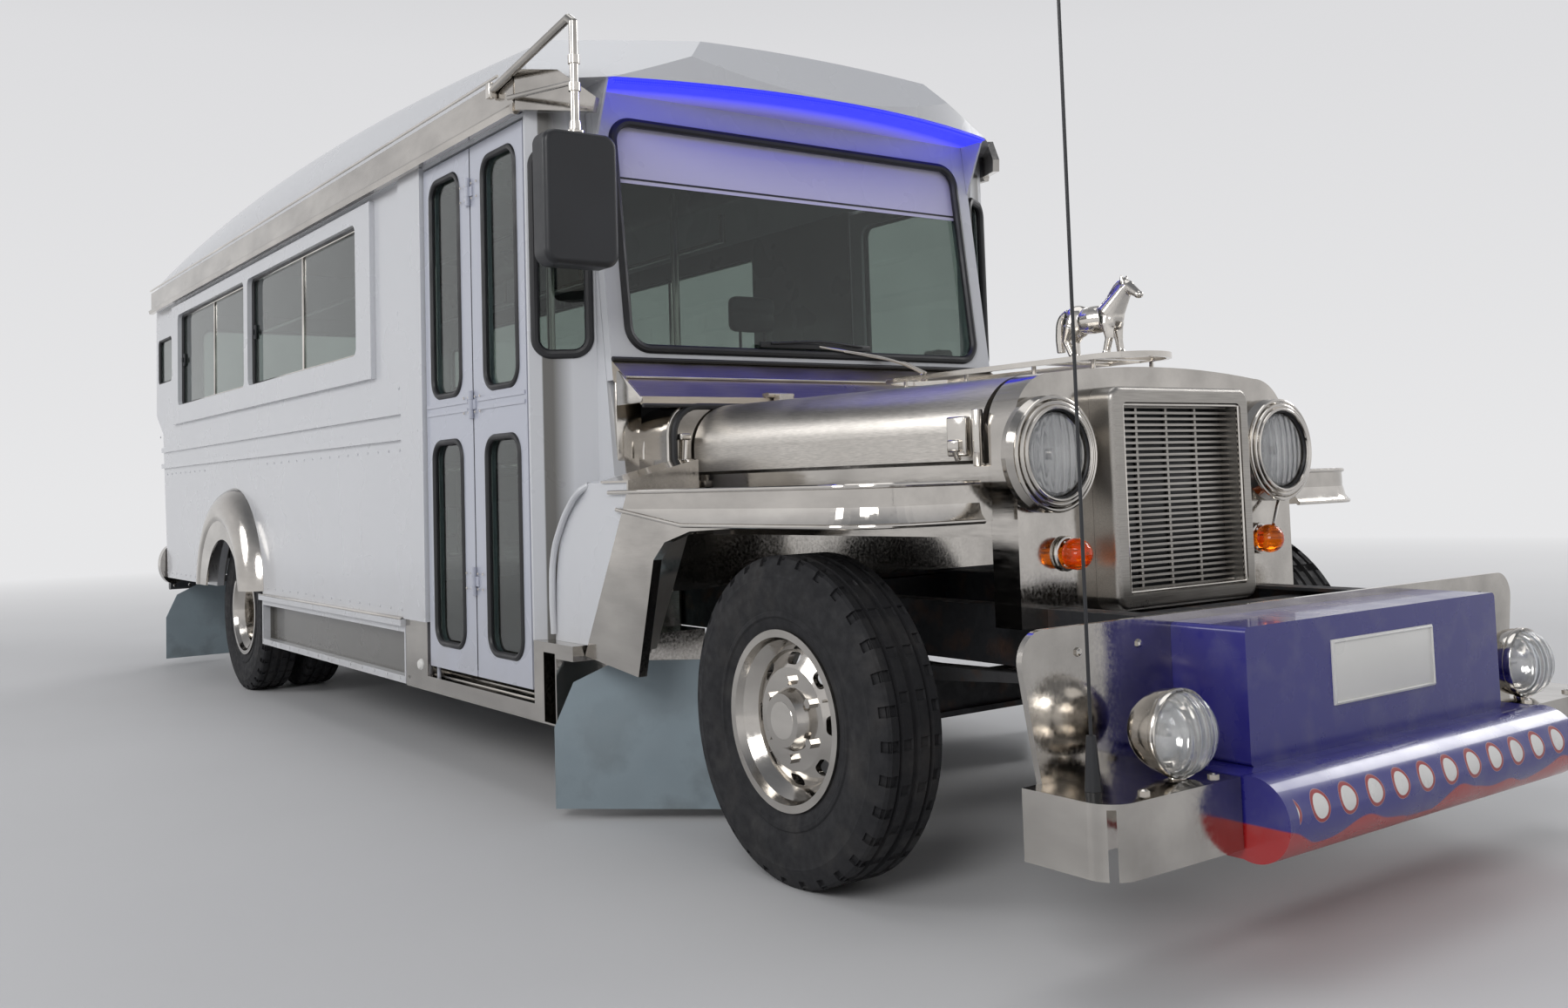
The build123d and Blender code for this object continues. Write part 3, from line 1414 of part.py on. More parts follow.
def tail_lamp(y):
    """Upright oval lamp on a foot at a rear corner."""
    z = TAIL_LAMP_Z
    face = tail_at(z) - SEAT_GAP - 30
    upright = Plane(origin=(face, y, z), x_dir=(0, 1, 0), z_dir=(-1, 0, 0))
    wide, tall = TAIL_LAMP
    lamp = extrude(upright * Ellipse(wide / 2, tall / 2), amount=70)
    crown = loft(
        [
            upright * Pos(0, 0, 70 + depth) * Ellipse(wide / 2 - less, tall / 2 - less)
            for depth, less in ((0, 6), (16, 14), (26, 34))
        ]
    )
    foot = plate_xz(
        [
            (tail_at(z - 60) - SEAT_GAP, z - 60), (tail_at(z + 60) - SEAT_GAP, z + 60),
            (face - 10, z + 60), (face - 10, z - 60),
        ],
        (y - 30, min(y + 30, inner_y)),
    )
    return lamp + crown + foot


def mirror_arm():
    """Bent tube bracket from the gutter that carries the right-hand mirror."""
    y = -MIRROR_Y
    half = roof_half + RAIL_DEPTH
    top = MIRROR_TOP_Z + 345
    x = ahead(MIRROR_X)
    root = (ahead(300), -half - TUBE_D / 2 - SEAT_GAP, EAVES_Z + 90)
    flat = (ahead(440), root[1], EAVES_Z + 110)
    bend = (x - 30, y, top)
    arm = rod(root, flat, TUBE_D) + Pos(*flat) * Sphere(TUBE_D / 2) + rod(flat, bend, TUBE_D)
    arm = arm + Pos(*bend) * Sphere(TUBE_D / 2)
    arm = arm + rod(bend, (x, y, top - 20), TUBE_D) + Pos(x, y, top - 20) * Sphere(TUBE_D / 2)
    arm = arm + rod((x, y, top - 20), (x, y, MIRROR_TOP_Z + SEAT_GAP), TUBE_D)
    low = (ahead(416), -half - TUBE_D * 0.3 - SEAT_GAP - 1, EAVES_Z + 40)
    arm = arm + rod(low, (x, y, MIRROR_TOP_Z + 150), TUBE_D * 0.6)
    return arm


def mirror_head():
    """Black rounded housing hung under its tube."""
    x, y = ahead(MIRROR_X), -MIRROR_Y
    head = block(
        (x - MIRROR_DEPTH / 2, x + MIRROR_DEPTH / 2), (y - MIRROR_WIDTH / 2, y + MIRROR_WIDTH / 2),
        (MIRROR_TOP_Z - MIRROR_HEIGHT, MIRROR_TOP_Z),
    )
    head = fillet(head.edges().filter_by(Axis.X), 40)
    return fillet(head.faces().sort_by(Axis.X)[-1].edges(), 18)


def door_mirror():
    """Small mirror on the driver's door, reaching as far out as the other one."""
    reach = MIRROR_Y + MIRROR_WIDTH / 2
    x = ahead(60)
    low = DRIVER_PANE_LOW_Z - 44
    head = rounded((x - 30, x + 30), (reach - 105, reach), (low - 20, low + 190), 20, Axis.X)
    foot = block((x - 18, x + 18), (side_y + SEAT_GAP, reach - 100), (low, low + 34))
    return head + foot


def door_leaf(back, front, pane_x, trim):
    """One folding door leaf with two glazed openings; trim is the X span of its mouldings."""
    y = (-side_y, -side_y + LEAF_WALL)
    leaf = block((back, front), y, (DOOR_LOW_Z, LINTEL_Z - DOOR_GAP))
    for z in (LEAF_UPPER_Z, LEAF_LOWER_Z):
        leaf = leaf - rounded(
            (pane_x - LEAF_PANE / 2, pane_x + LEAF_PANE / 2), (y[0] - 1, y[1] + 1), z, 60, Axis.Y
        )
    for z in (LEAF_RAIL_Z - 14, LEAF_RAIL_Z + 14):
        leaf = leaf + block(trim, (y[0] - 4, y[0] + 1), (z - 6, z + 6))
    return leaf


def knuckle_ring(x, y, z, span, reach, side):
    """Barrel of a door hinge outside the skin with its strap; reach is the strap's X run."""
    barrel = rod((x, y, z + span[0]), (x, y, z + span[1]), 2 * HINGE_R)
    skin = side * side_y
    strap = block(sorted((x + reach / 14, x + reach)), sorted((skin, skin + side * 6)), (z + span[0], z + span[1]))
    return barrel + strap


def pinned(x, y, z, reach, side):
    """The fixed half of a hinge, two barrels on one pin."""
    ends = [knuckle_ring(x, y, z, span, reach, side) for span in ((-46, -16.5), (16.5, 46))]
    return ends[0] + ends[1] + rod((x, y, z - 46), (x, y, z + 46), 2 * PIN_R)


def bored(x, y, z, reach, side):
    """The turning half of a hinge, one barrel bored for the pin."""
    ring = knuckle_ring(x, y, z, (-16, 16), reach, side)
    return ring - rod((x, y, z - 20), (x, y, z + 20), 2 * (PIN_R + RUN_GAP))


def fold_y():
    """Where the folding pin stands outside the right-hand skin."""
    return -side_y - HINGE_R


def leaf_pins():
    """Stub pins above and below the rear leaf."""
    x, y = door_rear_x + LEAF_PIN_INSET[0], -side_y + LEAF_PIN_INSET[1]
    low = rod((x, y, STEP_TOP_Z - 5), (x, y, DOOR_LOW_Z + 2), 2 * LEAF_PIN_R)
    high = rod((x, y, LINTEL_Z - DOOR_GAP - 2), (x, y, LINTEL_Z + 8), 2 * LEAF_PIN_R)
    return low + high


def leaf_pin_bores():
    """What the stub pins cut from the step and the lintel."""
    x, y = door_rear_x + LEAF_PIN_INSET[0], -side_y + LEAF_PIN_INSET[1]
    return rod((x, y, STEP_TOP_Z - 20), (x, y, EAVES_Z - 1), 2 * (LEAF_PIN_R + RUN_GAP))


def leaf_glass(pane_x):
    """Two panes of one leaf."""
    middle = -side_y + LEAF_WALL / 2
    y = (middle - GLASS / 2, middle + GLASS / 2)
    half = LEAF_PANE / 2 - SEAT_GAP
    return [
        rounded(
            (pane_x - half, pane_x + half), y, (z[0] + SEAT_GAP, z[1] - SEAT_GAP), 60 - SEAT_GAP, Axis.Y
        )
        for z in (LEAF_UPPER_Z, LEAF_LOWER_Z)
    ]


def driver_door():
    """Hinged door on the left with a window over a plain panel."""
    back, front = ahead(CAB_CORNER_X) - 20 - DRIVER_DOOR, ahead(CAB_CORNER_X) - 20
    y = (side_y - LEAF_WALL, side_y)
    door = block((back, front), y, (DRIVER_DOOR_LOW_Z, EAVES_Z - 20))
    door = door - rounded(
        (back + 70, front - 70), (y[0] - 1, y[1] + 1), (DRIVER_PANE_LOW_Z, EAVES_Z - 80), 50, Axis.Y
    )
    handle = rounded((back + 50, back + 190), (side_y - 1, side_y + 22), (1180, 1206), 10, Axis.Y)
    for z in DRIVER_HINGE_Z:
        door = door + bored(front + DOOR_GAP / 2, side_y + HINGE_R, z, -30, 1)
    return door + handle


def driver_glass():
    """Pane of the driver's door."""
    back, front = ahead(CAB_CORNER_X) - 20 - DRIVER_DOOR, ahead(CAB_CORNER_X) - 20
    middle = side_y - LEAF_WALL / 2
    return rounded(
        (back + 70 + SEAT_GAP, front - 70 - SEAT_GAP), (middle - GLASS / 2, middle + GLASS / 2),
        (DRIVER_PANE_LOW_Z + SEAT_GAP, EAVES_Z - 80 - SEAT_GAP), 50 - SEAT_GAP, Axis.Y,
    )


def driver_seat():
    """Seat with headrest on its box."""
    y = (190, 620)
    x = (ahead(-330), ahead(80))
    low, top = SEAT_TOP_Z - SEAT_PAD, SEAT_TOP_Z
    crest = top + SEAT_BACK
    base = block((x[0] + 30, x[1] - 30), (y[0] + 30, y[1] - 30), (floor_z + SEAT_GAP, low))
    cushion = rounded(x, y, (low, top), 40, Axis.Y)
    back = plate_xz(
        [(x[0] - 10, top - 50), (x[0] + 100, top - 50), (x[0] + 30, crest), (x[0] - 60, crest)], y
    )
    back = fillet(back.edges().filter_by(Axis.Y), 30)
    middle = (y[0] + y[1]) / 2
    pad_z = (crest + 40, crest + 40 + HEADREST)
    rest = rounded((x[0] - 70, x[0] + 10), (middle - 125, middle + 125), pad_z, 35, Axis.X)
    stem = block((x[0] - 45, x[0] - 20), (middle - 50, middle + 50), (crest - 20, crest + 50))
    return base + cushion + back + rest + stem


def bench(side, front):
    """Long bench along one side on a panel support."""
    back = body_rear_x + REAR_TUCK + WALL + 30
    half = inner_y - 2
    inner = RAIL_Y + RAIL_WIDTH / 2 + 4
    low = BENCH_TOP_Z - BENCH_PAD
    cushion = block((back, front), sorted((side * inner, side * half)), (low, BENCH_TOP_Z))
    panel_y = sorted((side * inner, side * (inner + 8 - 2)))
    panel = block((back + 20, front - 10), panel_y, (floor_z + SEAT_GAP, low))
    rest_y = sorted((side * (half - 50), side * half))
    rest = block((back, front), rest_y, (BENCH_TOP_Z - 10, SURROUND_LOW_Z + 20))
    return cushion + panel + rest


def dashboard():
    """Dash under the windscreen with the steering column."""
    back, front, top = ahead(360), cowl_back() - SEAT_GAP, 1290
    face = screen_at(top) - WALL + 2 - SEAT_GAP
    dash = plate_xz(
        [
            (back + 40, 1040), (back, 1180), (back + 30, top), (min(face, front), top),
            (min(face, front), 1040),
        ],
        (-COWL_Y, COWL_Y),
    )
    wheel, along = wheel_centre()
    column = rod(tuple(wheel - along * 230), tuple(wheel - along * (13 + SEAT_GAP)), 46)
    return dash + column


def wheel_centre():
    """Middle of the steering wheel and the direction of its column, pointing at the driver."""
    return Vector(ahead(196), 405, 1202), Vector(-210, 0, 75).normalized()


def steering_wheel():
    """Rim, hub and three spokes, tilted on the column."""
    centre, along = wheel_centre()
    tilt = Plane(origin=centre, z_dir=along)
    ring = tilt * Torus(195, 14)
    hub = tilt * Cylinder(40, 26)
    wheel = ring + hub
    for angle in (90, 210, 330):
        arm = Pos(100 * cos(radians(angle)), 100 * sin(radians(angle)), 0) * Rot(Z=angle)
        wheel = wheel + tilt * arm * Box(190, 26, 10)
    return wheel


def build():
    """Make every named piece."""
    add("chassis_frame", chassis_frame())
    add("front_axle", front_axle())
    add("rear_axle", rear_axle())
    springs = [leaf_spring(front_axle_x), leaf_spring(rear_axle_x)]
    add("leaf_springs", *springs, *[mirror(s, about=Plane.XZ) for s in springs])
    add("battery_pack", battery_pack())
    add("floor", floor())
    add("step_well", step_well())
    right = side_wall(door_rear_x - DOOR_GAP)
    lintel = block(
        (door_rear_x - DOOR_GAP - 1, door_front_x + DOOR_GAP - SEAT_GAP),
        (-side_y, -side_y + LINTEL_DEPTH), (LINTEL_Z, EAVES_Z),
    )
    add("side_wall_right", mirror(right, about=Plane.XZ) + lintel - leaf_pin_bores())
    driver_back = ahead(CAB_CORNER_X) - 20 - DRIVER_DOOR
    sill = block(
        (driver_back - DOOR_GAP - 1, ahead(CAB_CORNER_X) - 20 + DOOR_GAP - SEAT_GAP),
        (inner_y, side_y), (SILL_Z, DRIVER_DOOR_LOW_Z - DOOR_GAP),
    )
    add("side_wall_left", side_wall(driver_back - DOOR_GAP) + sill)
    add("rear_wall", rear_wall())
    cab_right = mirror(cab_side(), about=Plane.XZ)
    cab_left = cab_side()
    for z in DRIVER_HINGE_Z:
        cab_left = cab_left + pinned(door_front_x + DOOR_GAP / 2, side_y + HINGE_R, z, 16, 1)
    add("cab_sides", cab_right, cab_left)
    add("screen_frame", screen_frame())
    panes = side_panes() + [quarter_block(GLASS, SEAT_GAP)]
    panes += [mirror(p, about=Plane.XZ) for p in panes]
    add("window_glass", *panes, rear_pane(), screen_block(GLASS, SEAT_GAP))
    add("cowl", cowl())
    add("scuttle", scuttle())
    add("roof", roof())
    add("visor", visor())
    add("drip_rails", *both_sides(drip_rail()))
    leaf_span = (door_rear_x, seam_x - DOOR_GAP / 2, seam_x + DOOR_GAP / 2, door_front_x)
    rear_pane_x = (leaf_span[0] + leaf_span[1]) / 2 - LEAF_PANE_OFFSET + 6
    front_pane_x = (leaf_span[2] + leaf_span[3]) / 2 + LEAF_PANE_OFFSET
    trim = (leaf_span[0] + 10, leaf_span[1] - LEAF_TRIM_END)
    rear_leaf = door_leaf(leaf_span[0], leaf_span[1], rear_pane_x, trim) + leaf_pins()
    for z in KNUCKLE_Z:
        rear_leaf = rear_leaf + pinned(seam_x, fold_y(), z, -28, -1)
    add("door_leaf_rear", rear_leaf)
    add("door_leaf_rear_glass", *leaf_glass(rear_pane_x))
    trim = (leaf_span[2] + LEAF_TRIM_END, leaf_span[3] - 10)
    front_leaf = door_leaf(leaf_span[2], leaf_span[3], front_pane_x, trim)
    for z in KNUCKLE_Z:
        front_leaf = front_leaf + bored(seam_x, fold_y(), z, 28, -1)
    add("door_leaf_front", front_leaf)
    add("door_leaf_front_glass", *leaf_glass(front_pane_x))
    add("driver_door", driver_door())
    add("driver_door_glass", driver_glass())
    add("door_mirror", door_mirror())
    add("hood", hood())
    add("hood_ornament", ornament())
    add("fascia", fascia())
    add("grille", grille())
    add("headlamp_pods", *both_sides(headlamp_pod(HEADLAMP_Y)))
    add("headlamp_lenses", *both_sides(headlamp_lens(HEADLAMP_Y)))
    ball_x = ahead(FASCIA_X) + MARKER_D / 2 + SEAT_GAP
    markers = both_sides(lamp_ball(ball_x, MARKER_Y, MARKER_Z, MARKER_D))
    lamp_z = SHELF_TOP_Z + LAMP_D / 2 + SEAT_GAP
    big = both_sides(lamp_ball(ahead(2545), LAMP_Y, lamp_z, LAMP_D))
    add("marker_lamps", *markers)
    add("bumper_lamps", *big)
    add("tail_lamps", *both_sides(tail_lamp(TAIL_LAMP_Y)))
    add("front_fenders", *both_sides(fender()))
    arch_gap = ARCH_R + 16
    rear_run = (body_rear_x + REAR_TUCK + 60, rear_axle_x - arch_gap - 130)
    board = running_board(rear_axle_x + arch_gap - 40, door_rear_x - 30 - JAMB)
    left = running_board(rear_axle_x + arch_gap - 40, ahead(CAB_CORNER_X) - 10)
    add("running_boards", mirror(board, about=Plane.XZ), left)
    add("rear_arch_covers", *both_sides(arch_cover()))
    front_flap = mud_flap(ahead(960), (600, 985), -370, 452, 30)
    rear_flap = mud_flap(body_rear_x + REAR_TUCK + WALL + 62, (640, 1000), 0, 460, 30)
    add("mud_flaps", *both_sides(front_flap), *both_sides(rear_flap))
    add("bumper", bumper())
    add("bumper_centre", bumper_centre())
    add("antenna", antenna())
    add("rear_bumper", rear_bumper())
    add("mirror_arm", mirror_arm())
    add("mirror_head", mirror_head())
    add("driver_seat", driver_seat())
    add("benches", bench(-1, door_rear_x - 330), bench(1, driver_back - 200))
    add("dashboard", dashboard())
    add("steering_wheel", steering_wheel())
    for name, side in (("right", -1), ("left", 1)):
        tyre_shape, rim_shape = front_wheel(side)
        add(f"front_tyre_{name}", tyre_shape)
        add(f"front_rim_{name}", rim_shape)
        turner = knuckle() if side > 0 else mirror(knuckle(), about=Plane.XZ)
        add(f"knuckle_{name}", turner)
        tyres, rims = rear_wheels(side)
        add(f"rear_tyres_{name}", *tyres)
        add(f"rear_rims_{name}", rims)


build()
os.makedirs("parts", exist_ok=True)
for name, solids in parts.items():
    shape = solids[0] if len(solids) == 1 else Compound(children=solids)
    export_step(shape, f"parts/{name}.step")
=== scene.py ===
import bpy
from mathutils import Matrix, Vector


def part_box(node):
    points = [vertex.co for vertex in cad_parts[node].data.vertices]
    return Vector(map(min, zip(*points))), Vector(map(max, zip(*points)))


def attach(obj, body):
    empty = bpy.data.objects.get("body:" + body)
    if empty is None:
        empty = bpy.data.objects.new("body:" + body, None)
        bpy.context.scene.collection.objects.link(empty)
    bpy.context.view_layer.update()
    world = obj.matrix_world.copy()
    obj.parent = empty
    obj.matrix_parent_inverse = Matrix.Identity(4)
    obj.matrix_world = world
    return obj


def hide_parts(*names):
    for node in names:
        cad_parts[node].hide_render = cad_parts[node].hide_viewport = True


bl_info = {
    "name": "Long jeepney looks",
    "version": (1, 0, 0),
    "blender": (4, 5, 0),
    "location": "View3D > Sidebar > Jeepney",
    "description": "Finishes, trim and soft parts of a long jeepney with a coach body",
    "category": "Object",
}

from math import cos, pi, radians, sin

import bmesh
import bpy
from mathutils import Matrix, Vector

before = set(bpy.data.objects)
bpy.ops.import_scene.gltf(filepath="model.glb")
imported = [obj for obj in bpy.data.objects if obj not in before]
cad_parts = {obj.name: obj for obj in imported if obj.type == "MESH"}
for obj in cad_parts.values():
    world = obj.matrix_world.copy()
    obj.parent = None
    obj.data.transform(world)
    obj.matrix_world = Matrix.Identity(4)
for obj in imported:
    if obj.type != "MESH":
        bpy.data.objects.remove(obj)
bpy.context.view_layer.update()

# Sides and directions, X forward, Y to the vehicle's left, Z up, all lengths in metres
RIGHT, LEFT = -1, 1
OUT_X, OUT_Y, UP = Vector((1, 0, 0)), Vector((0, 1, 0)), Vector((0, 0, 1))

# Places that the frame gives
FRONT_AXLE = (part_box("front_tyre_right")[0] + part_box("front_tyre_right")[1]) / 2
REAR_AXLE = (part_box("rear_tyres_right")[0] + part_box("rear_tyres_right")[1]) / 2
TYRE_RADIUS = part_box("front_tyre_right")[1].z / 2
TYRE_HALF = (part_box("front_tyre_right")[1].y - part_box("front_tyre_right")[0].y) / 2
RIM_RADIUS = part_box("front_rim_right")[1].z - FRONT_AXLE.z
SKIN_Y = -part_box("cab_sides")[0].y

# Places on the solids that no box gives: the cabin floor and the visor's lower front edge
FLOOR_TOP = 0.68
VISOR_EDGE_X, VISOR_BOW, VISOR_UNDER = 1.862, 0.203, 2.20

# Where the paint turns into the cabin's lining, each as the start and end of a short fade
LINING_SIDE, LINING_FRONT, LINING_BACK = (0.932, 0.936), (1.55, 1.58), (-3.42, -3.38)
LINING_TOP, CEILING, FACING_DOWN = (2.115, 2.125), (2.22, 2.23), (-0.3, -0.2)

# Tone of the far floor and of the surroundings
PALE = (0.80, 0.80, 0.81)


def clean_part():
    """Empty bmesh."""
    return bmesh.new()


def join(mesh, part, place=None):
    """Moves a finished part into mesh, set in place first."""
    if place is not None:
        bmesh.ops.transform(part, matrix=place, verts=part.verts)
    data = bpy.data.meshes.new("part")
    part.to_mesh(data)
    part.free()
    mesh.from_mesh(data)
    bpy.data.meshes.remove(data)


def aimed(centre, axis):
    """Matrix that stands a part's Z along axis at centre."""
    turn = Vector(axis).to_track_quat("Z", "Y").to_matrix().to_4x4()
    return Matrix.Translation(Vector(centre)) @ turn


def add_block(mesh, low, high, edge=0.0, steps=2, place=None):
    """Box between two corners with its edges rounded."""
    low, high = Vector(low), Vector(high)
    part = clean_part()
    size = Matrix.Diagonal((*(high - low), 1))
    bmesh.ops.create_cube(part, size=1, matrix=Matrix.Translation((low + high) / 2) @ size)
    if edge:
        bmesh.ops.bevel(
            part, geom=part.edges[:], offset=edge, segments=steps, affect="EDGES",
            profile=0.5, material=-1, clamp_overlap=True,
        )
    join(mesh, part, place)


def add_rod(mesh, start, end, radius, tip=None, sides=16):
    """Closed round bar between two points, with radius tip at its end."""
    start, end = Vector(start), Vector(end)
    place = aimed((start + end) / 2, end - start)
    bmesh.ops.create_cone(
        mesh, cap_ends=True, segments=sides, radius1=radius,
        radius2=radius if tip is None else tip, depth=(end - start).length, matrix=place,
    )


def add_turned(mesh, outline, centre, axis, sides=40, ring=False):
    """Round solid from (radius, height) points spun about axis; ring closes the outline."""
    part = clean_part()
    points = [part.verts.new((radius, 0, height)) for radius, height in outline]
    pairs = list(zip(points, points[1:]))
    if ring:
        pairs.append((points[-1], points[0]))
    lines = [part.edges.new(pair) for pair in pairs]
    bmesh.ops.spin(
        part, geom=points + lines, cent=(0, 0, 0), axis=(0, 0, 1), angle=2 * pi,
        steps=sides, use_merge=True, use_duplicate=False,
    )
    bmesh.ops.remove_doubles(part, verts=part.verts, dist=1e-6)
    bmesh.ops.recalc_face_normals(part, faces=part.faces)
    join(mesh, part, aimed(centre, axis))


def add_ball(mesh, centre, radii):
    """Closed ball stretched along the axes."""
    place = Matrix.Translation(Vector(centre)) @ Matrix.Diagonal((*radii, 1))
    bmesh.ops.create_uvsphere(mesh, u_segments=20, v_segments=12, radius=1, matrix=place)


def round_section(reach, height, radius, tall=None, corners=8):
    """Section of a bead for add_turned, its middle at reach and height, oval if tall is given."""
    tall = radius if tall is None else tall
    turns = (n * 2 * pi / corners for n in range(corners))
    return [(reach + radius * cos(a), height + tall * sin(a)) for a in turns]


def add_tube(mesh, points, radius, closed=False, curved=False):
    """Round bead swept along points, through them as one smooth curve if curved."""
    curve = bpy.data.curves.new("bead", "CURVE")
    curve.dimensions = "3D"
    curve.bevel_depth = radius
    curve.bevel_resolution = 3
    curve.use_fill_caps = True
    spline = curve.splines.new("BEZIER" if curved else "POLY")
    if curved:
        spline.resolution_u = 8
        spline.bezier_points.add(len(points) - 1)
        for knot, point in zip(spline.bezier_points, points):
            knot.co = point
            knot.handle_left_type = knot.handle_right_type = "AUTO"
    else:
        spline.points.add(len(points) - 1)
        for knot, point in zip(spline.points, points):
            knot.co = (*point, 1)
    spline.use_cyclic_u = closed
    holder = bpy.data.objects.new("bead", curve)
    data = bpy.data.meshes.new_from_object(holder)
    mesh.from_mesh(data)
    bpy.data.objects.remove(holder)
    bpy.data.curves.remove(curve)
    bpy.data.meshes.remove(data)


def add_strip(mesh, outline, stations):
    """Moulding with an (out, up) section swept through stations of place, out and up vectors."""
    part = clean_part()
    frames = []
    for place, out, up in stations:
        axes = Matrix((out, up, out.cross(up))).transposed().to_4x4()
        frames.append(Matrix.Translation(place) @ axes)
    face = part.faces.new([part.verts.new(frames[0] @ Vector((*point, 0))) for point in outline])
    for before, after in zip(frames, frames[1:]):
        made = bmesh.ops.extrude_face_region(part, geom=[face])["geom"]
        moved = [g for g in made if isinstance(g, bmesh.types.BMVert)]
        bmesh.ops.transform(part, matrix=after @ before.inverted(), verts=moved)
        face = next(g for g in made if isinstance(g, bmesh.types.BMFace))
    bmesh.ops.recalc_face_normals(part, faces=part.faces)
    join(mesh, part)


def cut_away(mesh, place, direction, close=False):
    """Cuts by the plane at place and drops the side in that direction, closing the cut if asked."""
    bmesh.ops.bisect_plane(
        mesh, geom=mesh.verts[:] + mesh.edges[:] + mesh.faces[:], dist=1e-6,
        plane_co=place, plane_no=direction, clear_outer=True,
    )
    if close:
        bmesh.ops.holes_fill(mesh, edges=[e for e in mesh.edges if e.is_boundary], sides=0)


def rectangle(half, low, high):
    """Corners (y, z) of an upright rectangle about the middle plane."""
    return [(-half, low), (half, low), (half, high), (-half, high)]


def add_studs(mesh, points, axis, radius=0.006, height=0.004, sides=8):
    """Row of small domed rivet or bolt heads that stand on points along axis."""
    axis = Vector(axis).normalized()
    for point in points:
        foot = Vector(point) - axis * 0.001
        add_rod(mesh, foot, foot + axis * (height * 0.6 + 0.001), radius, sides=sides)
        add_rod(
            mesh, foot + axis * height * 0.6, foot + axis * (height + 0.001), radius,
            radius * 0.45, sides,
        )


def along(start, end, count):
    """Evenly spaced points from start to end."""
    start, end = Vector(start), Vector(end)
    return [start.lerp(end, n / (count - 1)) for n in range(count)]


def both_sides(mesh):
    """Adds the mirror image across the vehicle's middle plane."""
    copy = mesh.copy()
    bmesh.ops.scale(copy, vec=(1, -1, 1), verts=copy.verts)
    bmesh.ops.reverse_faces(copy, faces=copy.faces)
    join(mesh, copy)


def merged_node(name):
    """Copy of a node's mesh as one closed skin with its flat faces whole."""
    mesh = clean_part()
    mesh.from_mesh(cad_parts[name].data)
    bmesh.ops.remove_doubles(mesh, verts=mesh.verts, dist=1e-5)
    bmesh.ops.dissolve_limit(
        mesh, angle_limit=radians(1), verts=mesh.verts[:], edges=mesh.edges[:]
    )
    return mesh


def pane_outlines(name):
    """Corner points and outward direction of each pane of a glass node."""
    mesh = merged_node(name)
    panes = []
    for face in mesh.faces:
        middle = face.calc_center_median()
        outward = face.normal.dot(Vector((middle.x, middle.y, 0))) > 0
        if face.calc_area() > 0.03 and outward:
            panes.append(([v.co.copy() for v in face.verts], face.normal.copy()))
    mesh.free()
    return panes


def put(name, mesh, body, look, smooth=35):
    """Makes the piece from its bmesh, in its finish, riding on its body; smooth is in degrees."""
    data = bpy.data.meshes.new(name)
    mesh.to_mesh(data)
    mesh.free()
    data.shade_smooth()
    data.set_sharp_from_angle(angle=radians(smooth))
    data.materials.append(look)
    piece = bpy.data.objects.new(name, data)
    bpy.context.scene.collection.objects.link(piece)
    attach(piece, body)
    return piece


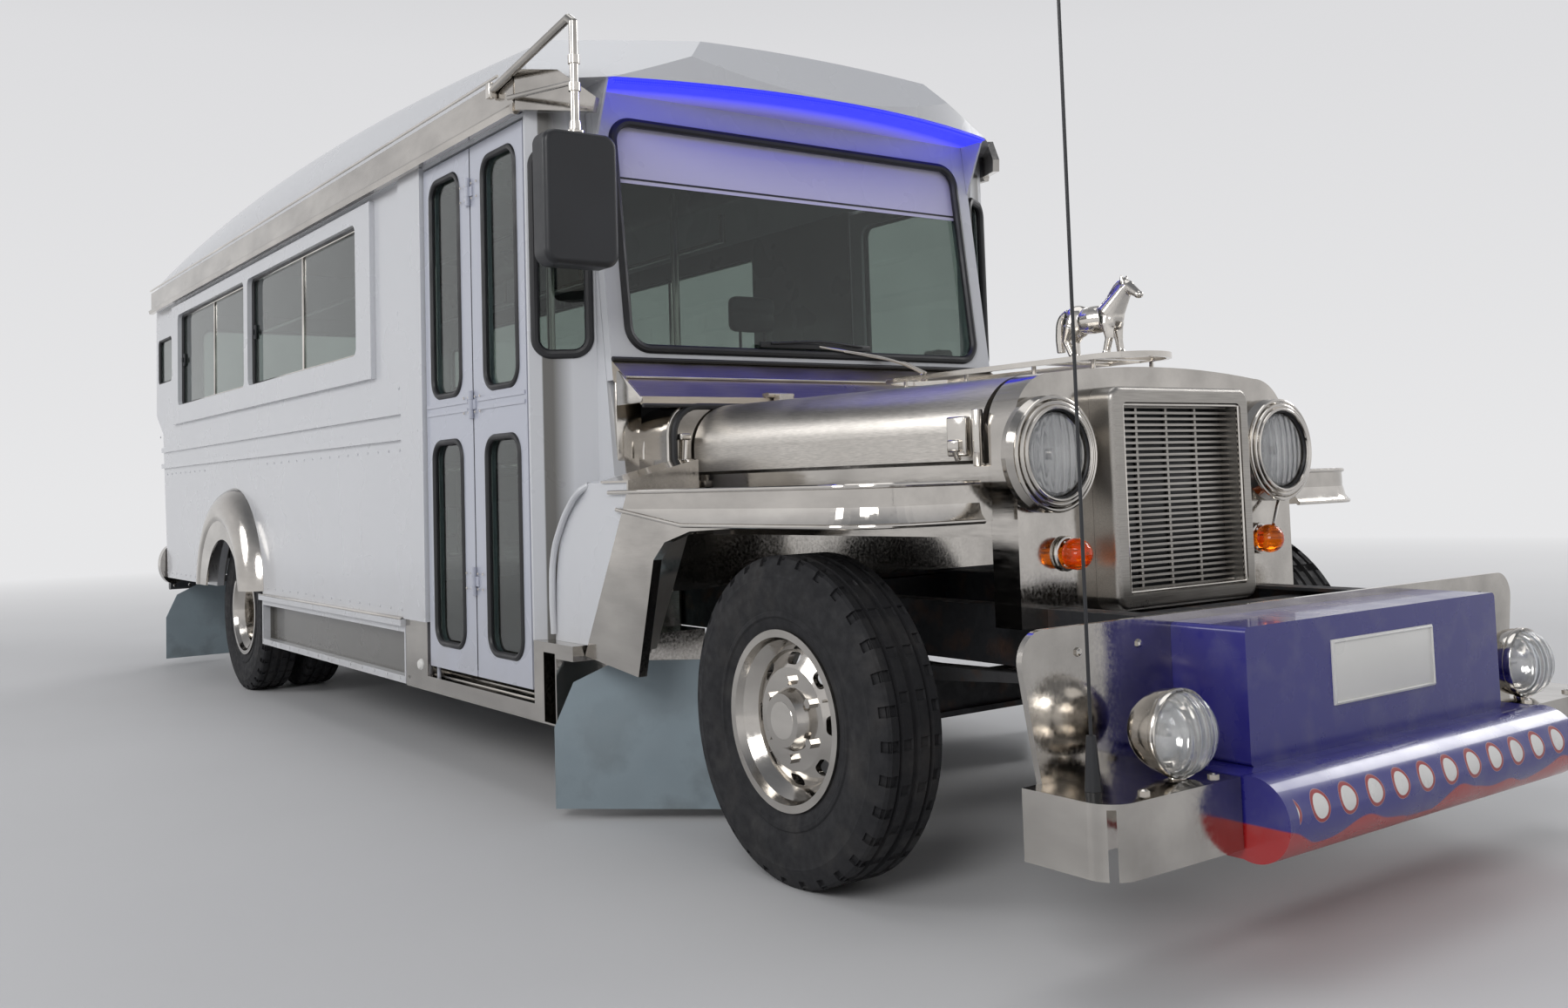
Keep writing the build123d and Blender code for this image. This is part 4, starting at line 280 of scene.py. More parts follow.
class FinishTree:
    """Shader tree of one finish, with short ways to add its grain, wear and relief."""

    def __init__(self, name, colour, roughness, metallic=0.0, sockets=None):
        self.material = bpy.data.materials.new(name)
        self.material.use_nodes = True
        self.nodes = self.material.node_tree.nodes
        self.links = self.material.node_tree.links
        self.shader = self.nodes["Principled BSDF"]
        self.place = self.nodes.new("ShaderNodeTexCoord").outputs["Object"]
        values = {"Base Color": (*colour, 1), "Roughness": roughness, "Metallic": metallic}
        for socket, value in {**values, **(sockets or {})}.items():
            self.shader.inputs[socket].default_value = value

    def grain(self, scale, detail=4.0, stretch=(1, 1, 1)):
        """Noise over the piece, stretched along its axes."""
        mapping = self.nodes.new("ShaderNodeMapping")
        mapping.inputs["Scale"].default_value = stretch
        self.links.new(self.place, mapping.inputs["Vector"])
        noise = self.nodes.new("ShaderNodeTexNoise")
        noise.inputs["Scale"].default_value = scale
        noise.inputs["Detail"].default_value = detail
        self.links.new(mapping.outputs["Vector"], noise.inputs["Vector"])
        return noise.outputs["Fac"]

    def wave(self, scale, direction):
        """Parallel bands along one axis."""
        wave = self.nodes.new("ShaderNodeTexWave")
        wave.bands_direction = direction
        wave.inputs["Scale"].default_value = scale
        self.links.new(self.place, wave.inputs["Vector"])
        return wave.outputs["Fac"]

    def part(self, axis):
        """One coordinate of the point, 0 for X, 1 for Y and 2 for Z."""
        split = self.nodes.new("ShaderNodeSeparateXYZ")
        self.links.new(self.place, split.inputs["Vector"])
        return split.outputs[axis]

    def span(self, value, start, end, low, high):
        """Value from start to end turned into low to high, and held outside."""
        node = self.nodes.new("ShaderNodeMapRange")
        for socket, number in (("From Min", start), ("From Max", end), ("To Min", low), ("To Max", high)):
            node.inputs[socket].default_value = number
        self.links.new(value, node.inputs["Value"])
        return node.outputs["Result"]

    def maths(self, operation, first, second=0.0):
        """Math node on two outputs or an output and a number."""
        node = self.nodes.new("ShaderNodeMath")
        node.operation = operation
        for socket, value in zip(node.inputs, (first, second)):
            if isinstance(value, (int, float)):
                socket.default_value = value
            else:
                self.links.new(value, socket)
        return node.outputs["Value"]

    def mix(self, amount, first, second):
        """Colour between first and second, each a colour or an output."""
        node = self.nodes.new("ShaderNodeMix")
        node.data_type = "RGBA"
        self.links.new(amount, node.inputs[0])
        for socket, value in zip((node.inputs[6], node.inputs[7]), (first, second)):
            if isinstance(value, (tuple, list)):
                socket.default_value = (*value, 1)
            else:
                self.links.new(value, socket)
        return node.outputs[2]

    def within(self):
        """1 on the faces that look into the cabin, 0 outside."""
        walls = self.span(self.maths("ABSOLUTE", self.part(1)), *LINING_SIDE, 1, 0)
        for axis, fade, low, high in (
            (0, LINING_FRONT, 1, 0), (0, LINING_BACK, 0, 1), (2, LINING_TOP, 1, 0),
        ):
            walls = self.maths("MULTIPLY", walls, self.span(self.part(axis), *fade, low, high))
        split = self.nodes.new("ShaderNodeSeparateXYZ")
        facing = self.nodes.new("ShaderNodeNewGeometry").outputs["Normal"]
        self.links.new(facing, split.inputs["Vector"])
        under = self.span(split.outputs[2], *FACING_DOWN, 1, 0)
        ceiling = self.maths("MULTIPLY", under, self.span(self.part(2), *CEILING, 0, 1))
        return self.maths("MAXIMUM", walls, ceiling)

    def drive(self, socket, output):
        """Links an output to one of the shader's sockets."""
        self.links.new(output, self.shader.inputs[socket])

    def relief(self, height, distance, strength=1.0):
        """Bump from a height, laid over any bump that is already there."""
        bump = self.nodes.new("ShaderNodeBump")
        bump.inputs["Distance"].default_value = distance
        bump.inputs["Strength"].default_value = strength
        self.links.new(height, bump.inputs["Height"])
        normal = self.shader.inputs["Normal"]
        if normal.is_linked:
            self.links.new(normal.links[0].from_socket, bump.inputs["Normal"])
        self.links.new(bump.outputs["Normal"], normal)


def shade(colour, factor):
    """Colour made darker or lighter."""
    return tuple(min(1.0, channel * factor) for channel in colour)


def gloss_paint(name, colour, dust=0.35, lining=None):
    """Sprayed gloss paint with faint clouding, road dust low down and orange peel; lining inside."""
    tree = FinishTree(name, colour, 0.28, sockets={"Coat Weight": 0.5, "Coat Roughness": 0.05})
    cloud = tree.span(tree.grain(1.1, 2), 0.2, 0.8, 0, 1)
    clouded = tree.mix(cloud, colour, shade(colour, 0.965))
    low = tree.span(tree.part(2), 0.25, 0.7, dust, 0)
    patchy = tree.span(tree.grain(9, 6), 0.3, 0.8, 0.2, 1)
    outside = tree.mix(tree.maths("MULTIPLY", low, patchy), clouded, (0.33, 0.30, 0.26))
    if lining:
        outside = tree.mix(tree.within(), outside, lining)
    tree.drive("Base Color", outside)
    tree.drive("Roughness", tree.span(tree.grain(3, 3), 0.2, 0.8, 0.25, 0.31))
    tree.relief(tree.grain(35, 2), 0.0002, 0.02)
    return tree.material


def polished_sheet(name, colour, ripple=0.009):
    """Polished stainless sheet, slightly wavy, with fine wiping marks and darker streaks painted in as
    reflections.
    """
    tree = FinishTree(name, colour, 0.1, metallic=1.0)
    # Painted reflection: stretched darker streaks in the base colour stand in for the sheet's wavy
    # reflections
    darker_streaks = tree.grain(3, 5, (1, 2.5, 2.5))
    tree.drive("Base Color", tree.mix(tree.span(darker_streaks, 0.3, 0.7, 0, 1), colour, shade(colour, 0.68)))
    scratch = tree.grain(120, 3, (0.12, 1, 1))
    tree.drive("Roughness", tree.span(scratch, 0.3, 0.75, 0.07, 0.2))
    tree.relief(tree.grain(2.6, 2), ripple, 0.6)
    tree.relief(scratch, 0.0003, 0.15)
    return tree.material


def brushed_sheet(name, colour, stretch=(0.02, 1, 1)):
    """Satin stainless sheet brushed one way."""
    tree = FinishTree(name, colour, 0.34, metallic=1.0, sockets={"Anisotropic": 0.5})
    lines = tree.grain(420, 2, stretch)
    cloud = tree.grain(3.5, 4)
    tone = tree.mix(tree.span(lines, 0.3, 0.7, 0, 1), shade(colour, 0.82), shade(colour, 1.1))
    tree.drive("Base Color", tree.mix(tree.span(cloud, 0.35, 0.7, 0, 0.5), tone, shade(colour, 0.8)))
    tree.drive("Roughness", tree.span(cloud, 0.3, 0.7, 0.27, 0.42))
    tree.relief(lines, 0.0003, 0.35)
    return tree.material


def cast_metal(name, colour, rust=0.3):
    """Painted or cast chassis steel with grime and a little rust."""
    tree = FinishTree(name, colour, 0.6, metallic=0.4)
    patch = tree.span(tree.grain(14, 7), 0.52, 0.72, 0, rust)
    grime = tree.mix(tree.span(tree.grain(4, 4), 0.3, 0.7, 0, 0.6), colour, shade(colour, 0.6))
    tree.drive("Base Color", tree.mix(patch, grime, (0.20, 0.085, 0.035)))
    tree.drive("Roughness", tree.span(tree.grain(30, 4), 0.3, 0.7, 0.45, 0.8))
    tree.relief(tree.grain(90, 5), 0.0012, 0.5)
    return tree.material


def tyre_black(name, colour):
    """Worn rubber with dust on its shoulders and fine pitting."""
    tree = FinishTree(name, colour, 0.75, sockets={"Specular IOR Level": 0.35})
    dust = tree.span(tree.grain(11, 6), 0.5, 0.8, 0, 0.25)
    tree.drive("Base Color", tree.mix(dust, colour, (0.12, 0.11, 0.10)))
    tree.drive("Roughness", tree.span(tree.grain(40, 4), 0.3, 0.7, 0.62, 0.9))
    tree.relief(tree.grain(260, 3), 0.0006, 0.4)
    return tree.material


def moulded_plastic(name, colour, roughness=0.45, texture=420):
    """Moulded plastic or rubber with a fine spark texture."""
    tree = FinishTree(name, colour, roughness)
    faded = tree.mix(tree.span(tree.grain(6, 5), 0.4, 0.75, 0, 0.5), colour, shade(colour, 1.7))
    tree.drive("Base Color", faded)
    tree.drive("Roughness", tree.span(tree.grain(12, 4), 0.3, 0.7, roughness - 0.08, roughness + 0.12))
    tree.relief(tree.grain(texture, 2), 0.0004, 0.35)
    return tree.material


def tinted_pane(name, colour):
    """Flat tinted safety glass that lets lamp light through to the cabin."""
    tree = FinishTree(name, colour, 0.01, sockets={"IOR": 1.5, "Transmission Weight": 1.0})
    darker_streaks = tree.span(tree.grain(2.2, 5), 0.3, 0.75, 0, 1)
    tree.drive("Base Color", tree.mix(darker_streaks, colour, shade(colour, 0.88)))
    tree.drive("Roughness", tree.span(tree.grain(16, 6), 0.45, 0.8, 0.0, 0.015))
    tree.relief(tree.grain(1.1, 1), 0.003, 0.3)
    path = tree.nodes.new("ShaderNodeLightPath")
    clear = tree.nodes.new("ShaderNodeBsdfTransparent")
    clear.inputs["Color"].default_value = (*colour, 1)
    either = tree.nodes.new("ShaderNodeMixShader")
    tree.links.new(path.outputs["Is Shadow Ray"], either.inputs["Fac"])
    tree.links.new(tree.shader.outputs["BSDF"], either.inputs[1])
    tree.links.new(clear.outputs["BSDF"], either.inputs[2])
    out = tree.nodes["Material Output"]
    tree.links.new(either.outputs["Shader"], out.inputs["Surface"])
    return tree.material


def lamp_glass(name, colour, flutes, direction="Y", depth=0.0015):
    """Pressed lamp glass with flutes on its face."""
    tree = FinishTree(
        name, colour, 0.06, sockets={"IOR": 1.45, "Transmission Weight": 0.85}
    )
    tree.drive("Roughness", tree.span(tree.grain(25, 4), 0.4, 0.8, 0.03, 0.14))
    tree.relief(tree.wave(flutes, direction), depth, 0.8)
    return tree.material


def weathered_sheet(name, colour):
    """Thick rubberised sheet with mud splashes and scuffs."""
    tree = FinishTree(name, colour, 0.6)
    splash = tree.span(tree.grain(5, 8), 0.48, 0.62, 0, 1)
    low = tree.span(tree.part(2), 0.05, 0.4, 1, 0.15)
    washed = tree.mix(tree.span(tree.grain(2.5, 4), 0.35, 0.65, 0, 1), colour, shade(colour, 1.3))
    soil = tree.maths("MULTIPLY", tree.maths("MULTIPLY", splash, low), 0.5)
    tree.drive("Base Color", tree.mix(soil, washed, (0.11, 0.12, 0.12)))
    tree.drive("Roughness", tree.span(tree.grain(20, 5), 0.3, 0.7, 0.4, 0.8))
    tree.relief(tree.grain(60, 5), 0.001, 0.5)
    return tree.material


def vinyl(name, colour):
    """Soft upholstery vinyl with a pebbled grain and rubbed high spots."""
    tree = FinishTree(name, colour, 0.42, sockets={"Sheen Weight": 0.15})
    pebble = tree.nodes.new("ShaderNodeTexVoronoi")
    pebble.inputs["Scale"].default_value = 320
    tree.links.new(tree.place, pebble.inputs["Vector"])
    worn = tree.span(tree.grain(7, 6), 0.45, 0.7, 0, 0.5)
    tree.drive("Base Color", tree.mix(worn, colour, shade(colour, 1.8)))
    tree.drive("Roughness", tree.span(tree.grain(15, 3), 0.3, 0.7, 0.35, 0.55))
    tree.relief(pebble.outputs["Distance"], 0.0008, 0.6)
    return tree.material


def tread_plate(name, colour):
    """Ribbed floor sheet with foot wear."""
    tree = FinishTree(name, colour, 0.4, metallic=0.7)
    wear = tree.span(tree.grain(3, 6), 0.4, 0.7, 0, 1)
    tree.drive("Base Color", tree.mix(wear, colour, shade(colour, 0.6)))
    tree.drive("Roughness", tree.span(tree.grain(30, 5), 0.3, 0.7, 0.3, 0.6))
    tree.relief(tree.wave(14, "Y"), 0.002, 0.7)
    return tree.material


def nose_bar_paint(name, colour, band, disc):
    """Blue enamel with a wavy red foot and a row of plain pale discs, under road dust."""
    tree = FinishTree(name, colour, 0.25, sockets={"Coat Weight": 0.5, "Coat Roughness": 0.05})
    height, across = tree.part(2), tree.part(1)
    band_top, band_wave, fade = 0.262, 0.022, 0.004
    disc_height, half_pitch, row_shift, row_half, face_x = 0.315, 0.046, 4.046, 0.530, 3.742
    disc_square, face_square = (0.00080, 0.00090), (0.00048, 0.00052)
    swell = tree.span(tree.grain(4.5, 1, (0.01, 1, 0.01)), 0.35, 0.65, -band_wave, band_wave)
    red = tree.span(tree.maths("ADD", height, swell), band_top, band_top + fade, 1, 0)
    banded = tree.mix(red, colour, band)
    aside = tree.maths("PINGPONG", tree.maths("ADD", across, row_shift), half_pitch)
    above = tree.maths("SUBTRACT", height, disc_height)
    squares = [tree.maths("MULTIPLY", value, value) for value in (aside, above)]
    reach = tree.maths("ADD", *squares)
    round_spot = tree.span(reach, *disc_square, 1, 0)
    rim = tree.maths("MULTIPLY", tree.span(reach, *face_square, 0, 1), round_spot)
    in_row = tree.span(tree.maths("ABSOLUTE", across), row_half, row_half + fade / 2, 1, 0)
    on_nose = tree.maths("MULTIPLY", tree.span(tree.part(0), face_x, face_x + fade, 0, 1), in_row)
    spots = tree.mix(tree.maths("MULTIPLY", round_spot, on_nose), banded, disc)
    ringed = tree.mix(tree.maths("MULTIPLY", rim, on_nose), spots, shade(band, 0.8))
    dust = tree.span(tree.grain(12, 7), 0.5, 0.75, 0, 0.16)
    tree.drive("Base Color", tree.mix(dust, ringed, (0.30, 0.30, 0.32)))
    tree.drive("Roughness", tree.span(tree.grain(8, 5), 0.3, 0.7, 0.18, 0.38))
    tree.relief(tree.grain(35, 2), 0.0002, 0.03)
    return tree.material


def lamp_with_painted_glow(name, bright, faint, power):
    """Blue light strip behind the visor's lip, and painted light of that strip on the visor's underside,
    fading towards the windscreen.
    """
    tree = FinishTree(name, faint, 0.4)
    dim_from, bright_from = 1.63, 1.76
    across = tree.part(1)
    bow = tree.maths("MULTIPLY", tree.maths("MULTIPLY", across, across), VISOR_BOW)
    reach = tree.maths("ADD", tree.part(0), bow)
    flicker = tree.span(tree.wave(60, "Y"), 0.2, 0.8, 0.85, 1.0)
    # Painted light: glow and base colour fade from the lip towards the windscreen, standing in for the
    # strip's light falling on the visor's underside
    fade = tree.maths("MULTIPLY", tree.span(reach, dim_from, bright_from, 0, 1), flicker)
    tree.drive("Base Color", tree.mix(fade, shade(faint, 0.5), shade(bright, 0.3)))
    tree.drive("Emission Color", tree.mix(fade, faint, bright))
    tree.drive("Emission Strength", tree.span(fade, 0, 1, power * 0.22, power))
    return tree.material


class JeepneyColours(bpy.types.PropertyGroup):
    """Colours that a user would change."""

    body: bpy.props.FloatVectorProperty(
        name="Body", description="Gloss paint of the coach body", subtype="COLOR",
        size=3, min=0, max=1, default=(0.64, 0.65, 0.68),
    )
    doors: bpy.props.FloatVectorProperty(
        name="Doors", description="Grey lilac of the folding door leaves", subtype="COLOR",
        size=3, min=0, max=1, default=(0.50, 0.52, 0.60),
    )
    nose_bar: bpy.props.FloatVectorProperty(
        name="Nose bar", description="Blue of the box and bar at the front", subtype="COLOR",
        size=3, min=0, max=1, default=(0.022, 0.020, 0.215),
    )
    nose_band: bpy.props.FloatVectorProperty(
        name="Nose band", description="Red along the foot of the nose bar", subtype="COLOR",
        size=3, min=0, max=1, default=(0.42, 0.018, 0.02),
    )
    steel: bpy.props.FloatVectorProperty(
        name="Polished steel", description="Tone of the polished sheet", subtype="COLOR",
        size=3, min=0, max=1, default=(0.60, 0.57, 0.53),
    )
    glass: bpy.props.FloatVectorProperty(
        name="Glass", description="Tint of the panes", subtype="COLOR",
        size=3, min=0, max=1, default=(0.40, 0.46, 0.43),
    )
    strip_light: bpy.props.FloatVectorProperty(
        name="Strip light", description="Blue of the light under the visor", subtype="COLOR",
        size=3, min=0, max=1, default=(0.01, 0.02, 1.0),
    )
    floor: bpy.props.FloatVectorProperty(
        name="Studio floor", description="Pale floor", subtype="COLOR",
        size=3, min=0, max=1, default=(0.62, 0.62, 0.63),
    )


class JeepneySizes(bpy.types.PropertyGroup):
    """Sizes that a user would change."""

    gasket: bpy.props.FloatProperty(
        name="Gasket", description="Half the width of a window rubber", unit="LENGTH", default=0.011
    )
    bead: bpy.props.FloatProperty(
        name="Bead", description="Radius of the rolled sheet edges", unit="LENGTH", default=0.006
    )
    tread_depth: bpy.props.FloatProperty(
        name="Tread depth", description="Depth of the tyre grooves", unit="LENGTH", default=0.010
    )
    tread_steps: bpy.props.IntProperty(
        name="Tread blocks", description="Steps round one tyre, an even number", default=96
    )
    screen_strip: bpy.props.FloatProperty(
        name="Screen strip", description="Height of the lower edge of the bare strip", unit="LENGTH",
        default=1.905,
    )
    strip_power: bpy.props.FloatProperty(
        name="Strip power", description="Strength of the light under the visor", default=1.2
    )
    lens: bpy.props.FloatProperty(
        name="Camera lens", description="Focal length on a 36 mm wide sensor", default=31.52
    )


FINISHES = {}


def finish(name):
    """Finish of that name, made by the finishes operator."""
    return FINISHES[name]


class JEEPNEY_OT_finishes(bpy.types.Operator):
    """Makes every finish and lays them on the carried-over solids"""

    bl_idname = "jeepney.finishes"
    bl_label = "Finishes"

    def execute(self, context):
        colours = context.scene.jeepney_colours
        steel = tuple(colours.steel)
        FINISHES.update(
            body=gloss_paint("coach_paint", tuple(colours.body), lining=(0.13, 0.125, 0.115)),
            doors=gloss_paint("door_paint", tuple(colours.doors)),
            nose_bar=nose_bar_paint(
                "nose_bar_paint", tuple(colours.nose_bar), tuple(colours.nose_band), (0.78, 0.77, 0.75)
            ),
            steel=polished_sheet("polished_sheet", steel),
            chrome=polished_sheet("bright_chrome", shade(steel, 1.35), 0.001),
            dark_steel=polished_sheet("shadowed_chrome", shade(steel, 0.35), 0.001),
            hood=brushed_sheet("brushed_hood_sheet", shade(steel, 1.02)),
            satin=brushed_sheet("satin_scuttle_sheet", (0.58, 0.52, 0.44), (1, 0.02, 1)),
            grille=brushed_sheet("brushed_grille_bars", shade(steel, 0.72), (1, 0.03, 1)),
            chassis=cast_metal("chassis_enamel", (0.035, 0.036, 0.04)),
            cast=cast_metal("cast_arms", (0.12, 0.12, 0.125), 0.5),
            battery=cast_metal("battery_box_enamel", (0.20, 0.22, 0.24), 0.12),
            tyre=tyre_black("tyre_tread_rubber", (0.016, 0.016, 0.018)),
            rubber=moulded_plastic("window_rubber", (0.012, 0.012, 0.014), 0.42, 300),
            black=moulded_plastic("mirror_shell_plastic", (0.016, 0.017, 0.020), 0.38),
            dash=moulded_plastic("dashboard_moulding", (0.035, 0.036, 0.042), 0.55, 260),
            glass=tinted_pane("tinted_panes", tuple(colours.glass)),
            lens=lamp_glass("fluted_lamp_glass", (0.93, 0.95, 0.97), 13, depth=0.003),
            amber=lamp_glass("amber_lamp_glass", (1.0, 0.22, 0.01), 22, "Z", 0.001),
            red=lamp_glass("red_lamp_glass", (0.7, 0.02, 0.015), 22, "Z", 0.001),
            flap=weathered_sheet("mud_flap_sheet", (0.22, 0.27, 0.30)),
            tread=tread_plate("ribbed_floor_sheet", (0.30, 0.30, 0.31)),
            bench=vinyl("bench_upholstery", (0.05, 0.055, 0.065)),
            seat=vinyl("seat_upholstery", (0.02, 0.02, 0.023)),
            casting=polished_sheet("cast_ornament_metal", shade(steel, 1.3), 0.0004),
            strip=gloss_paint("bare_strip_film", (0.62, 0.60, 0.76), 0),
            plain=gloss_paint("pale_enamel", (0.80, 0.79, 0.76), 0.15),
            glow=lamp_with_painted_glow(
                "visor_light", tuple(colours.strip_light), (0.33, 0.30, 0.85),
                context.scene.jeepney_sizes.strip_power,
            ),
        )
        by_slot = {
            "white_paint": "body", "grey_paint": "doors", "blue_paint": "nose_bar",
            "polished_steel": "steel", "brushed_hood": "hood", "brushed_grille": "grille",
            "chassis_paint": "chassis", "cast_steel": "cast", "battery_case": "battery",
            "tyre_rubber": "tyre", "black_plastic": "black", "dark_plastic": "dash",
            "tinted_glass": "glass", "lamp_glass": "lens", "amber_lamp": "amber",
            "flap_sheet": "flap", "floor_sheet": "tread", "bench_vinyl": "bench",
            "seat_vinyl": "seat",
        }
        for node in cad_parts.values():
            for slot in node.material_slots:
                chosen = finish(by_slot[slot.material.name])
                slot.link = "OBJECT"
                slot.material = chosen
        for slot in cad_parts["scuttle"].material_slots:
            slot.material = finish("satin")
        return {"FINISHED"}


class JEEPNEY_OT_gaskets(bpy.types.Operator):
    """Black rubber round each pane of the body and the doors"""

    bl_idname = "jeepney.gaskets"
    bl_label = "Window rubbers"

    def execute(self, context):
        radius = context.scene.jeepney_sizes.gasket
        body_stand, door_stand, end_stand, end_growth = 0.004, 0.011, 0.016, 1.35
        for node, body, stand in (
            ("window_glass", "vehicle", body_stand), ("door_leaf_rear_glass", "door_rear", door_stand),
            ("door_leaf_front_glass", "door_front", door_stand),
            ("driver_door_glass", "driver_door", door_stand),
        ):
            rubber = clean_part()
            for corners, outward in pane_outlines(node):
                at_end = abs(outward.x) > 0.5
                path = [corner + outward * (end_stand if at_end else stand) for corner in corners]
                add_tube(rubber, path, radius * (end_growth if at_end else 1), closed=True)
            put("rubber_" + node, rubber, body, finish("rubber"))
        return {"FINISHED"}


class JEEPNEY_OT_sliding_windows(bpy.types.Operator):
    """Meeting bars, tracks and latches of the sliding side windows"""

    bl_idname = "jeepney.sliding_windows"
    bl_label = "Sliding windows"

    def execute(self, context):
        bars, latches = clean_part(), clean_part()
        long_pane, sink, rounding = 1.0, 0.001, 0.002
        bar_half, bar_proud, track_proud, track_tall, track_end = 0.011, 0.007, 0.009, 0.010, 0.03
        latch_half, latch_reach, latch_proud, latch_end = 0.014, 0.036, 0.012, 0.028
        grip_half, grip_reach, grip_foot, grip_proud = 0.006, 0.015, 0.01, 0.022
        for corners, outward in pane_outlines("window_glass"):
            back, front = min(c.x for c in corners), max(c.x for c in corners)
            low, high = min(c.z for c in corners), max(c.z for c in corners)
            if outward.y < 0.9 or front - back < long_pane:
                continue
            face = corners[0].y
            middle, level = (back + front) / 2, (low + high) / 2
            add_block(
                bars, (middle - bar_half, face - sink, low),
                (middle + bar_half, face + bar_proud, high), rounding,
            )
            for foot in (low + 0.004, high - 0.014):
                add_block(
                    bars, (back + track_end, face - sink, foot),
                    (front - track_end, face + track_proud, foot + track_tall), rounding,
                )
            for x in (back + latch_end, front - latch_end):
                add_block(
                    latches, (x - latch_half, face, level - latch_reach),
                    (x + latch_half, face + latch_proud, level + latch_reach), edge=0.005,
                )
                add_block(
                    latches, (x - grip_half, face + grip_foot, level - grip_reach),
                    (x + grip_half, face + grip_proud, level + grip_reach), edge=0.004,
                )
        both_sides(bars)
        both_sides(latches)
        put("window_slide_bars", bars, "vehicle", finish("chrome"))
        put("window_slide_latches", latches, "vehicle", finish("black"))
        return {"FINISHED"}


class JEEPNEY_OT_windscreen(bpy.types.Operator):
    """Bare strip across the windscreen's head with its dark line, the wiper and the inside mirror"""

    bl_idname = "jeepney.windscreen"
    bl_label = "Windscreen"

    def execute(self, context):
        floor = context.scene.jeepney_sizes.screen_strip
        film_gap, film_inset, film_thick = 0.002, 0.012, 0.0015
        line_gap, line_foot, line_head, line_thick = 0.0016, 0.012, 0.018, 0.0010
        corners, outward = next(
            pane for pane in pane_outlines("window_glass") if pane[1].x > 0.9
        )
        strip = clean_part()
        face = strip.faces.new([strip.verts.new(c + outward * film_gap) for c in corners])
        bmesh.ops.inset_region(strip, faces=[face], thickness=film_inset, use_even_offset=True)
        rim = [f for f in strip.faces if f is not face]
        bmesh.ops.delete(strip, geom=rim, context="FACES")
        cut_away(strip, (0, 0, floor), -UP)
        line = strip.copy()
        cut_away(line, (0, 0, floor + line_head), UP)
        cut_away(line, (0, 0, floor + line_foot), -UP)
        bmesh.ops.translate(line, vec=outward * line_gap, verts=line.verts)
        bmesh.ops.solidify(strip, geom=strip.faces[:], thickness=film_thick)
        bmesh.ops.solidify(line, geom=line.faces[:], thickness=line_thick)
        put("windscreen_head_strip", strip, "vehicle", finish("strip"))
        put("windscreen_strip_line", line, "vehicle", finish("rubber"))
        self.wiper()
        self.inside_mirror()
        return {"FINISHED"}

    def wiper(self):
        """Arm on its boss with a spring rod beside it, and the blade with its bow."""
        arm, blade = clean_part(), clean_part()
        pivot, knee = Vector((1.775, 0.40, 1.318)), Vector((1.745, 0.33, 1.352))
        tip = Vector((1.707, 0.0, 1.402))
        boss = [(0, 0), (0.018, 0), (0.018, 0.014), (0.010, 0.024), (0, 0.026)]
        spring = [pivot + Vector((0, 0.018, 0)), knee + Vector((0, 0.02, 0.002)), tip.lerp(knee, 0.3)]
        bow = [(1.716, -0.20, 1.406), (1.722, 0.0, 1.416), (1.716, 0.18, 1.406)]
        add_turned(arm, boss, (1.768, 0.40, 1.293), axis=(0.5, 0, 1))
        add_tube(arm, [pivot, knee, tip], 0.0055, curved=True)
        add_tube(arm, spring, 0.0035)
        add_block(blade, (1.700, -0.24, 1.392), (1.712, 0.22, 1.412), edge=0.003)
        add_tube(blade, bow, 0.004, curved=True)
        put("wiper_arm", arm, "vehicle", finish("chrome"))
        put("wiper_blade", blade, "vehicle", finish("rubber"))

    def inside_mirror(self):
        """Rear-view mirror and its stalk behind the windscreen."""
        mirror = clean_part()
        add_block(mirror, (1.535, -0.12, 1.93), (1.555, 0.12, 1.99), edge=0.009, steps=3)
        add_rod(mirror, (1.55, 0, 1.98), (1.595, 0, 2.07), 0.007)
        put("cabin_mirror", mirror, "vehicle", finish("black"))


class JEEPNEY_OT_visor_light(bpy.types.Operator):
    """Blue light under the visor: the lamp tube along the lip, and its panel, whose glow is painted light of
    the tube on the visor's underside
    """

    bl_idname = "jeepney.visor_light"
    bl_label = "Visor light"

    def execute(self, context):
        panel_half, panel_gap, panel_thick = 0.78, 0.004, 0.003
        tube_radius, tube_back, tube_height, tube_half, step = 0.006, 0.014, 2.190, 0.77, 0.07
        panel = merged_node("visor")
        kept = [
            f for f in panel.faces
            if f.normal.z < -0.95 and f.calc_center_median().x > 1.5
            and all(abs(v.co.z - VISOR_UNDER) < 0.004 for v in f.verts)
        ]
        bmesh.ops.delete(panel, geom=[f for f in panel.faces if f not in kept], context="FACES")
        for side in (RIGHT, LEFT):
            cut_away(panel, (0, side * panel_half, 0), (0, side, 0))
        bmesh.ops.translate(panel, vec=(0, 0, -panel_gap), verts=panel.verts)
        bmesh.ops.solidify(panel, geom=panel.faces[:], thickness=-panel_thick)
        bmesh.ops.recalc_face_normals(panel, faces=panel.faces)
        # This panel is no lamp: its glow is painted light of the tube on the visor's underside
        put("visor_underside_painted_glow", panel, "vehicle", finish("glow"))

        tube = clean_part()
        across = [n * step - tube_half for n in range(23)]
        path = [Vector((VISOR_EDGE_X - VISOR_BOW * y * y - tube_back, y, tube_height)) for y in across]
        add_tube(tube, path, tube_radius, curved=True)
        put("visor_light_tube", tube, "vehicle", finish("glow"))
        return {"FINISHED"}


